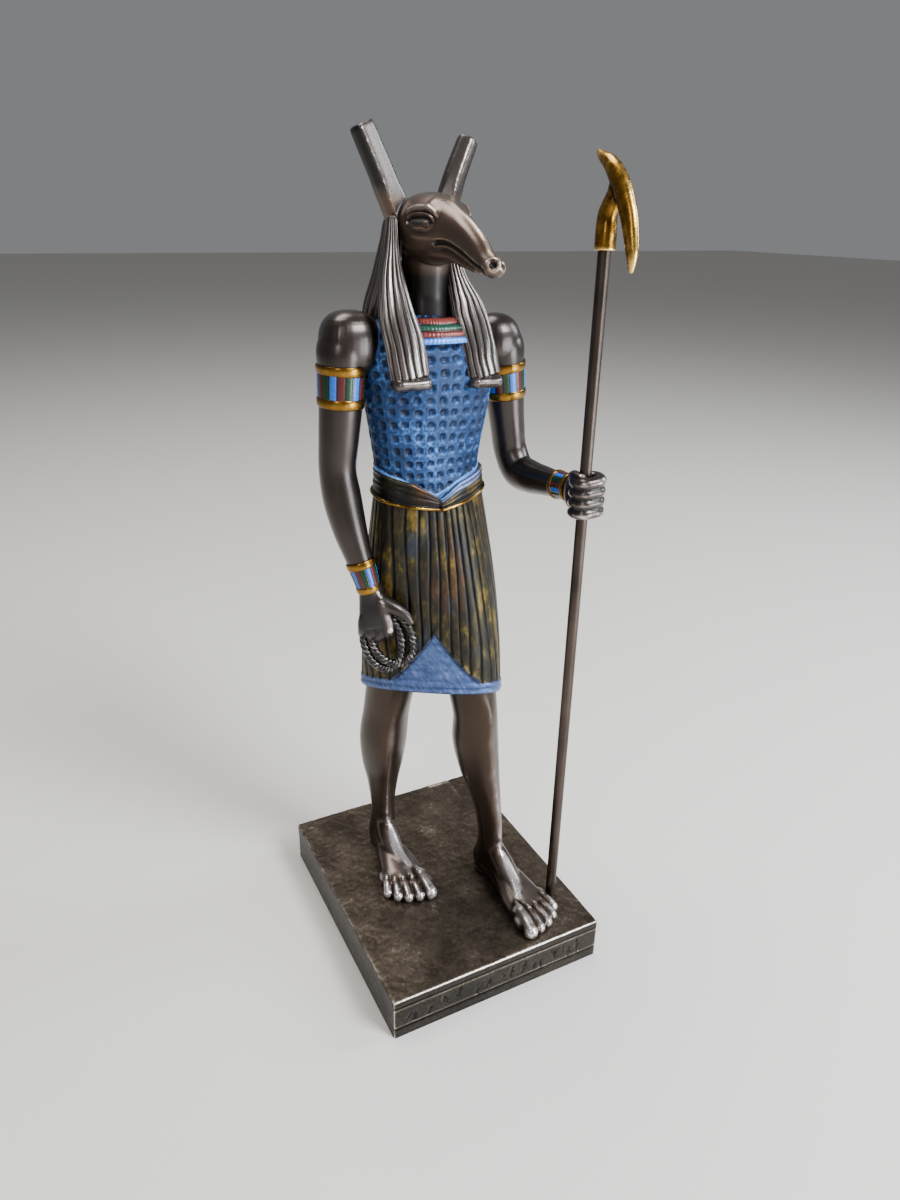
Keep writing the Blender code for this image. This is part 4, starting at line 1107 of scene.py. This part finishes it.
def left_arm():
    parts = [solid(tube(ARM_L, 56, 120)), ball(*SHOULDER_L)]
    # The elbow, then the palm round the staff
    parts.append(ball((35.0, 14.2, 173.5), (4.2, 4.0, 5.0)))
    parts.append(ball((STAFF_X + 2.6, STAFF_Y + 4.0, FIST_Z), (4.4, 5.4, 6.8)))
    parts.append(ball((STAFF_X - 0.1, STAFF_Y + 4.4, FIST_Z + 0.3), (3.9, 4.0, 6.6), 2.4))
    reach = ROD_R + SOLE_GAP + FINGER * 0.86
    for k in range(4):
        height = FIST_Z + (1.5 - k) * FINGER_PITCH
        places = []
        for degrees, proud in FINGER_WAY:
            c, s = math.cos(math.radians(degrees)), math.sin(math.radians(degrees))
            wide = reach + proud
            places.append((STAFF_X + wide * c, STAFF_Y + wide * s, height + 0.35 * c))
        radii = [FINGER * share for share in (1.1, 1.14, 1.14, 1.08, 1.04, 1.0, 0.9)]
        parts.append(capsule(places, radii, rings=44))
    thumb = [(STAFF_X + across, STAFF_Y + out, FIST_Z + up) for across, out, up in THUMB_L]
    parts.append(capsule(thumb, (2.4, 2.1, 1.8)))
    skin = Skin(parts, ARM_L_PITCH)
    skin.points = skin.relaxed(rounds=8)
    # The hole for the rod
    bore = ROD_R + 0.12
    out = skin.points[:, :2] - (STAFF_X, STAFF_Y)
    far = np.linalg.norm(out, axis=1)
    inside = (np.abs(skin.points[:, 2] - FIST_Z) < 12) & (far < bore)
    skin.points[inside, :2] = (STAFF_X, STAFF_Y) + out[inside] / far[inside, None] * bore
    piece("left_arm", (skin.points, skin.faces), SKIN, relief=sharpened(skin.relief(blur=7)) - 0.05)


def stretch(rows, start, end, axis):
    """Sections of an arm between two places along an axis."""
    fine = smooth_rows(rows, 900)
    first, last = (int(np.argmin(abs(fine[:, axis] - at))) for at in (start, end))
    return fine[first : last + 1] if first < last else fine[last : first + 1][::-1]


def band(name, rows, start, end, axis, rim, side, stripes, shift):
    """An armlet or bracelet: a gold rim at each edge and an enamelled zone between them."""
    cut = smooth_rows(stretch(rows, start, end, axis), 64)
    middle, across, other = frames(cut, side)
    length = np.r_[0, np.cumsum(np.linalg.norm(np.diff(cut[:, :3], axis=0), axis=1))]
    segments = 128
    angles = turns(segments, 0.3)

    def rings(places, proud):
        out = []
        for place, extra in zip(places, proud):
            i = int(np.argmin(abs(length - place)))
            wide, deep = cut[i, 3:5] + 0.3 + extra
            centre = cut[i, :3] + (place - length[i]) * middle[i]
            wide, deep = np.outer(wide * np.cos(angles), across[i]), np.outer(deep * np.sin(angles), other[i])
            out.append(centre + wide + deep)
        return np.array(out)

    total = length[-1]
    half_turn = np.linspace(0, 1, 13) * math.pi
    for key, low in (("top", 0.0), ("foot", total - rim)):
        made = rings(low + rim * (0.5 - 0.5 * np.cos(half_turn)), 0.75 * np.sin(half_turn) ** 0.5 - 0.35)
        shine = np.broadcast_to((0.75 * np.sin(half_turn) - 0.5)[:, None], made.shape[:2])
        piece(f"{name}_rim_{key}", solid(made), GOLD, "old_gold", relief=with_ends(shine))
    count = 14
    made = rings(np.linspace(rim * 0.6, total - rim * 0.6, count), np.full(count, 0.12))
    stripe = np.broadcast_to(stripes * (1 - np.arange(segments) / segments) + shift, (count, segments))
    line = step(0.36, 0.46, np.abs(stripe % 1 - 0.5))
    made = made + unit(made - made.mean(1, keepdims=True)) * (-0.22 * line)[..., None]
    piece(f"{name}_enamel", solid(made), ENAMEL, stripe=with_ends(stripe))


def bands():
    band("armlet_right", ARM_R, 213.6, 199.8, 2, 3.4, (1, 0, 0), 18, 0.215)
    band("armlet_left", ARM_L, 211.2, 198.4, 2, 3.2, (-1, 0, 0), 18, 1.465)
    band("bracelet_right", ARM_R, 147.0, 135.4, 2, 2.9, (1, 0, 0), 15, 0.52)
    band("bracelet_left", ARM_L, -15.8, -24.6, 1, 1.9, (-1, 0, 0), 15, 0.3)


# Legs and feet

LEG_L = (
    (12.0, 3.2, 106, 11.0, 12.0),
    (14.0, -0.4, 88, 9.4, 10.2),
    (15.0, -2.4, 77, 8.9, 9.8),
    (15.6, -2.2, 64, 9.2, 10.6),
    (16.8, -4.0, 52, 8.2, 9.4),
    (18.2, -6.8, 41, 6.4, 7.6),
    (19.2, -8.8, 31, 5.3, 6.4),
    (19.8, -9.9, 21, 4.9, 6.0),
    (20.0, -9.6, 12, 5.2, 6.8),
    (20.0, -8.0, 5, 5.4, 7.2),
    (20.0, -8.0, 0.8, 5.2, 6.9),
)
LEG_R = (
    (-12.0, 13.0, 106, 11.0, 12.0),
    (-13.8, 16.2, 88, 9.6, 10.2),
    (-14.8, 18.4, 75, 9.3, 9.8),
    (-15.4, 21.0, 60, 9.6, 10.6),
    (-15.4, 22.4, 48, 8.4, 9.4),
    (-15.0, 23.6, 38, 6.6, 7.6),
    (-14.6, 24.8, 28, 5.4, 6.4),
    (-14.3, 25.6, 20, 4.9, 6.0),
    (-14.0, 26.6, 12, 5.2, 6.8),
    (-14.0, 28.4, 5, 5.4, 7.2),
    (-14.0, 28.4, 0.8, 5.2, 6.9),
)
FOOT = (
    (0, 5.0, 6.0, 4.8, 5.8),
    (0.1, -2.0, 6.6, 5.2, 6.4),
    (0.2, -9.0, 5.6, 5.8, 5.4),
    (0.0, -16.0, 4.8, 7.0, 4.7),
    (-0.6, -23.0, 3.9, 8.3, 3.8),
    (-1.0, -29.0, 3.2, 8.3, 3.1),
)
INSTEP = (
    (0, 3.0, 20.0, 3.4),
    (0.1, -2.6, 14.4, 4.0),
    (0.1, -8.8, 9.8, 4.7),
    (-0.3, -16.0, 6.2, 4.5),
    (-1.2, -23.0, 4.2, 3.6),
)
TENDON = ((-0.2, -3.4, 20.0), (-0.4, -8.6, 14.0), (-1.4, -16.5, 9.7), (-3.6, -25.5, 6.3))
INSTEP_SHINE = ((-0.2, -6.4, 18.5), (-0.4, -10.0, 15.0), (-1.4, -17.0, 11.0), (-3.6, -25.5, 7.4))
TOES = (  # across and along at the root, the same at the tip, and the radius
    (-6.7, -29.5, -8.1, -42.0, 2.85),
    (-2.9, -30.5, -3.5, -41.2, 2.25),
    (0.8, -29.8, 1.0, -40.3, 2.15),
    (4.0, -28.4, 4.9, -38.2, 2.1),
    (6.9, -26.6, 8.3, -34.8, 2.0),
)
FOOT_TURN = 6.0
ANKLE_L = (19.9, -10.2)
ANKLE_R = (-14.0, 26.3)


def leg(name, rows, ankle, sign):
    angle = math.radians(FOOT_TURN) * sign
    c, s = math.cos(angle), math.sin(angle)

    def place(x, y, z):
        return (ankle[0] + sign * x * c - y * s, ankle[1] + sign * x * s + y * c, z)

    segments, count = 72, 130
    stations = smooth_rows(rows, count)
    shin = step(88, 76, stations[:, 2]) * step(4, 12, stations[:, 2])
    facing = 0.5 * math.pi - 0.17 * sign
    front = np.abs(wrapped(turns(segments) - facing))
    ridge = np.exp(-front / 0.3) - 0.4 * bell(front - 0.85, 0.42)
    parts = [solid(tube(rows, segments, count, relief=shin[:, None] * ridge))]
    calf_x, calf_y = stations[np.argmin(abs(stations[:, 2] - 60)), :2]
    parts.append(ball((calf_x - 1.6 * sign, calf_y + 2.8, 63), (6.6, 7.4, 13)))
    foot = [(*place(*row[:3]), *row[3:]) for row in FOOT]
    parts.append(solid(tube(foot, 56, 60, power=2.2, tips=(3.2, 2.4))))
    parts.append(capsule([place(*row[:3]) for row in INSTEP], [row[3] for row in INSTEP], 40, 40))
    parts.append(capsule([place(*at) for at in TENDON], (1.2, 1.2, 1.1, 1.0), 16, 30))
    for x, y, tip_x, tip_y, radius in TOES:
        share = (tip_y + 9.0 - y) / (tip_y - y)
        joint = place(x + (tip_x - x) * share, tip_y + 8.4, 3.3)
        parts.append(ball(joint, (radius * 1.4, 4.6, radius * 1.15)))
        toe = [
            place(x, y, radius + 1.5),
            place((x + tip_x) / 2, (y + tip_y) / 2, radius + 1.3),
            place(tip_x, tip_y + radius * 0.8, radius * 0.95),
        ]
        parts.append(capsule(toe, (radius, radius * 0.92, radius), 24, 40))
        sinew = [
            place(x * 0.3, -14.0, 10.0 - abs(x) * 0.25),
            place(x * 0.8, -23.0, 6.9 - abs(x) * 0.18),
            place(x, y - 1.0, radius * 2 + 1.2),
        ]
        parts.append(capsule(sinew, (0.6, 0.7, 0.8)))
        nail = place(tip_x, tip_y + radius * 0.8, radius * 1.8)
        parts.append(ball(nail, (radius * 0.56, radius * 0.6, radius * 0.2)))
    skin = Skin(parts, LEG_PITCH)
    low = step(11, 6.5, skin.points[:, 2])[:, None]
    skin.points = skin.relaxed(rounds=3) * low + skin.relaxed(rounds=15) * (1 - low)
    ankle_share = step(5.8, 8.2, skin.points[:, 2]) * step(36, 24, skin.points[:, 2])
    skin.points = skin.filleted(rounds=36, share=ankle_share)
    ankle_share = ankle_share[:, None]
    skin.points = skin.relaxed(rounds=36) * ankle_share + skin.points * (1 - ankle_share)
    # The sole is flat
    skin.points[:, 2] = np.maximum(skin.points[:, 2], SOLE_GAP)
    x, y, z = skin.points.T
    relief = sharpened(skin.relief(blur=7))
    relief = relief * step(26, 10, z) + 0.5 * relief * step(10, 26, z) - 0.08
    # A painted highlight runs down the shin and over the instep
    bright = stations[(stations[:, 2] < 84) & (stations[:, 2] > 22)]
    shin_line = bright[:, :3].copy()
    shin_line[:, :2] += bright[:, 3:5] * (math.cos(facing), -math.sin(facing))
    line = np.vstack([shin_line, smooth_rows([place(*at) for at in INSTEP_SHINE], 40)])
    gap = nearest_gap(skin.points, line)
    shine = 0.46 * bell(gap, 1.0) + 0.30 * bell(gap, 3.0) + 0.16 * bell(gap, 3.4) * bell(z - 17, 10)
    # The top of the forefoot, where it faces up, is painted lighter as a highlight
    ahead = (ankle[1] - y) * c + (x - ankle[0]) * s
    top = 0.50 * step(6, 20, ahead) * step(-0.1, 0.7, skin.normals()[:, 2])
    relief = relief + shine * step(88, 60, z) + top
    piece(name, (skin.points, skin.faces), LEGS, relief=np.clip(np.minimum(relief, 0.84), -1, 1))


# Plinth

CORNER = 0.9  # the radius of its edges
PLINTH_PITCH = (0.62, 0.62, 0.42)
PATCH = ((HALF_W - 22.0, HALF_W - 13.0), (HALF_D - 14.0, HALF_D - 2.0))
SIGN_ROW = (-12.6, -5.6)  # heights below the plinth's top, of the row of strokes
GROOVES = (-3.4, -13.6)


def box_faces(low, high, pitch):
    """The top and sides of a box, as grids of points that share their edges: (points, faces)."""
    size = high - low
    n = np.maximum(np.round(size / pitch).astype(int), 1)
    points, faces = [], []

    def grid(origin, a, b, na, nb):
        base = sum(len(p) for p in points)
        i, j = np.meshgrid(np.arange(na + 1), np.arange(nb + 1), indexing="ij")
        points.append((origin + i[..., None] / na * a + j[..., None] / nb * b).reshape(-1, 3))
        k = base + np.arange(na)[:, None] * (nb + 1) + np.arange(nb)[None, :]
        faces.append(np.stack([k, k + nb + 1, k + nb + 2, k + 1], -1).reshape(-1, 4))

    x, y, z = np.diag(size)
    grid(low + z, x, y, n[0], n[1])
    grid(low, x, z, n[0], n[2])
    grid(low + y, z, x, n[2], n[0])
    grid(low, z, y, n[2], n[1])
    grid(low + x, y, z, n[1], n[2])
    points, faces = np.vstack(points), np.vstack(faces)
    _, first, index = np.unique(np.round(points, 4), axis=0, return_index=True, return_inverse=True)
    return points[first], index.reshape(-1)[faces]


def sign_strokes():
    """Short strokes in groups along the front; they stand for a row of signs and spell nothing."""
    rng = np.random.default_rng(21)
    strokes = []
    x = -HALF_W + 5
    while x < HALF_W - 6:
        wide, kind = rng.uniform(3.2, 5.2), rng.integers(4)
        low, high = SIGN_ROW
        for _ in range(2 + kind % 2):
            a = (x + rng.uniform(0, wide), rng.uniform(low, (low + high) / 2 + 1))
            lean = rng.uniform(-1.6, 1.6) if kind else rng.uniform(2, 4) * rng.choice((-1, 1))
            b = (np.clip(a[0] + lean, x, x + wide), min(high, a[1] + rng.uniform(1.2, 4.6)))
            strokes.append((a, b))
        x += wide + rng.uniform(1.6, 3.4)
    return strokes


def segment_distance(px, pz, a, b):
    ax, az = a
    dx, dz = b[0] - ax, b[1] - az
    t = np.clip(((px - ax) * dx + (pz - az) * dz) / (dx * dx + dz * dz + 1e-9), 0, 1)
    return np.hypot(px - ax - t * dx, pz - az - t * dz)


def plinth():
    low = np.array((-HALF_W, -HALF_D, -TOP / U))
    high = np.array((HALF_W, HALF_D, 0.0))
    points, faces = box_faces(low, high, PLINTH_PITCH)
    inner = np.clip(points, low + CORNER, high - CORNER)
    inner[:, 2] = np.clip(points[:, 2], low[2], high[2] - CORNER)
    out = points - inner
    length = np.maximum(np.linalg.norm(out, axis=1, keepdims=True), 1e-9)
    normals = out / length
    points = inner + normals * np.minimum(CORNER, length)
    x, y, z = points.T
    top = z > -CORNER * 0.6
    front = (y < -HALF_D + 0.5) & ~top
    rough = 0.12 * noise_at(points * (1, 1, 2), 8.0, 31) + 0.07 * noise_at(points, 2.2, 32)
    rough = rough + 0.08 * noise_at(points, 1.0, 33)
    hatch = noise_at(np.stack([x * 0.75 + y * 0.66, (y * 0.75 - x * 0.66) * 0.25, z * 0], -1), 1.0, 34)
    patches = step(-0.2, 0.5, noise_at(points, 16.0, 35))
    move = np.where(top, rough - 0.20 + 0.06 * hatch * patches, 0.35 * rough - 0.09)
    mask = np.where(top, 1.3 * rough + 0.12 * hatch * patches + 0.02, 0.6 * rough - 0.62 + 0.12 * front)
    lines = sum(bell(z - at, 0.32) for at in GROOVES)
    strokes = np.zeros(len(points))
    for a, b in sign_strokes():
        near = front & (np.abs(x - a[0]) < 6)
        strokes[near] = np.maximum(strokes[near], bell(segment_distance(x[near], z[near], a, b), 0.42))
    worn = front * (bell(z - GROOVES[1] - 0.9, 0.45) + bell(z - GROOVES[0] + 0.9, 0.4))
    cut = np.where(front, np.maximum(lines, strokes * 0.8), 0)
    move = move - 0.45 * cut
    mask = mask - cut + 0.9 * worn + 0.8 * front * (bell(strokes - 0.30, 0.16) * (strokes > 0.12))
    (x_low, x_high), (y_low, y_high) = PATCH
    inset = np.minimum(np.minimum(x - x_low, x_high - x), np.minimum(y - y_low, y_high - y))
    flat = top * step(-0.2, 0.25, inset)
    move = move * (1 - flat) - 0.5 * flat
    # A painted highlight along the patch's back edge, and a fainter line round its other edges
    rim = top * bell(inset + 0.5, 0.5) * np.where(y > y_high - 0.4, 0.9, 0.25)
    mask = mask * (1 - flat) + 0.05 * flat + rim
    # The edges are worn bright, and a painted highlight makes the front ones brighter still
    edge_wear_and_highlight = step(0.15, 0.6, np.sort(np.abs(normals), axis=1)[:, 1])
    mask = mask + edge_wear_and_highlight * (0.95 + 0.5 * noise_at(points, 3.0, 36)) * np.where(y < -HALF_D + 2, 1.25, 0.55)
    fade = step(low[2], low[2] + 0.8, z)
    points = points + normals * (move * fade - 0.02)[:, None]
    # The underside is one flat face through the lowest points, in order round the edge
    lowest = np.where(np.abs(points[:, 2] - low[2]) < 0.05)[0]
    order = lowest[np.argsort(np.arctan2(points[lowest, 1] / HALF_D, points[lowest, 0] / HALF_W))]
    shape = (points, faces.tolist() + [order[::-1].tolist()])
    piece("plinth_body", shape, PLINTH_BRONZE, "plinth_bronze", "plinth", relief=np.clip(mask, -1, 1))


# Staff

# Depth, height and half sizes, as shares of its height
STAFF_HEAD = (
    (0.215, 0.990, 0.020, 0.025),
    (0.130, 0.950, 0.052, 0.048),
    (0.020, 0.895, 0.068, 0.072),
    (-0.090, 0.800, 0.078, 0.090),
    (-0.210, 0.650, 0.080, 0.092),
    (-0.300, 0.490, 0.074, 0.088),
    (-0.360, 0.330, 0.066, 0.078),
    (-0.400, 0.160, 0.050, 0.058),
    (-0.405, 0.035, 0.022, 0.026),
)


def staff():
    tall = HEAD_TALL / 0.98
    base = HEAD_LOW
    rows = [(STAFF_X, STAFF_Y + y * tall, base + z * tall, a * tall, b * tall) for y, z, a, b in STAFF_HEAD]
    parts = [solid(tube(rows, 48, 70, tips=(0.3, 0.5), power=1.9))]
    half_sizes = (0.074 * tall, 0.085 * tall, 0.12 * tall)
    parts.append(ball((STAFF_X, STAFF_Y - 0.10 * tall, base + 0.67 * tall), half_sizes))
    foot, shoulder, outer = 0.19 * tall, 0.60 * tall, ROD_R + 1.2
    sleeve = (
        (STAFF_X, STAFF_Y, base + foot, outer, outer),
        (STAFF_X, STAFF_Y, base + (foot * 2 + shoulder) / 3, outer, outer),
        (STAFF_X, STAFF_Y, base + (foot + shoulder * 2) / 3, outer * 0.92, outer * 0.96),
        (STAFF_X, STAFF_Y - 0.10 * tall, base + shoulder + 0.08 * tall, outer * 0.66, outer * 0.8),
    )
    parts.append(solid(tube(sleeve, 40, 40)))
    skin = Skin(parts, CREST_PITCH)
    skin.points = skin.relaxed(rounds=16)
    skin.points = skin.points + (0.04 * noise_at(skin.points, 2.6, 51))[:, None] * skin.normals()
    relief = skin.relief(blur=17) + 0.2 + 0.2 * noise_at(skin.points * (1, 1, 0.3), 1.2, 52)
    relief = np.clip(relief, -1, 1)
    piece("staff_crest", (skin.points, skin.faces), GOLD, "old_gold", "staff_head", relief=relief)
    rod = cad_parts["staff_rod"]
    rod.data.materials.clear()
    rod.data.materials.append(rod_material())


# Floor, light and camera

# The camera looks along the first, stands at the second and has the third at its right
SIGHT = Vector((0.4216, 0.8062, -0.4152)).normalized()
EYE_POINT = Vector((-0.1299, -0.2557, 0.2768))
ROLLED_RIGHT = Vector((0.8894, -0.4568, 0.0162)).normalized()


def floor():
    size = 6.0
    corners = np.array([(-size, -size, 0), (size, -size, 0), (size, size, 0), (-size, size, 0)])
    mesh = bare_mesh("floor", corners, [(0, 1, 2, 3)])
    mesh.materials.append(Shader("floor_pale", Base_Color=(0.66, 0.63, 0.59, 1), Roughness=0.7).material)
    thing = added("floor", mesh)


def area_light(name, place, aim, size, power, colour):
    light = bpy.data.lights.new(name, "AREA")
    light.shape = "RECTANGLE"
    light.size, light.size_y = size
    light.energy = power
    light.color = colour
    thing = added(name, light)
    thing.location = place
    thing.rotation_euler = (Vector(aim) - Vector(place)).to_track_quat("-Z", "Y").to_euler()


def lights():
    aim = (0, 0, 0.16)
    area_light("key", (0.42, -0.78, 0.92), aim, (0.42, 0.42), 26, (0.90, 0.95, 1.0))
    area_light("window", (-0.62, -0.62, 0.62), aim, (0.14, 0.60), 2.5, (0.95, 0.97, 1.0))
    area_light("side", (0.92, -0.20, 0.62), (0, 0, 0.22), (0.26, 0.50), 7, (0.82, 0.91, 1.0))
    area_light("low", (0.36, -0.54, 0.13), (0, 0, 0.11), (0.28, 0.26), 3.6, (0.84, 0.92, 1.0))
    area_light("top", (-0.10, 0.30, 1.15), aim, (0.60, 0.45), 10, (1.0, 0.97, 0.93))
    world = bpy.data.worlds.new("studio")
    world.use_nodes = True
    shade = world.node_tree.nodes["Background"]
    shade.inputs["Color"].default_value = (0.88, 0.90, 0.93, 1)
    shade.inputs["Strength"].default_value = 0.24
    bpy.context.scene.world = world


def camera():
    data = bpy.data.cameras.new("camera")
    data.lens = 25.5
    data.sensor_width = 36
    data.clip_start = 0.01
    thing = added("camera", data)
    up = ROLLED_RIGHT.cross(SIGHT).normalized()
    right = SIGHT.cross(up)
    turn = Matrix((right, up, -SIGHT)).transposed().to_4x4()
    thing.matrix_world = Matrix.Translation(EYE_POINT) @ turn
    bpy.context.scene.camera = thing


camera()
lights()
floor()
plinth()
leg("left_leg", LEG_L, ANKLE_L, 1)
leg("right_leg", LEG_R, ANKLE_R, -1)
kilt()
sash()
rope()
corselet()
collar()
right_arm()
left_arm()
bands()
head()
wig()
staff()
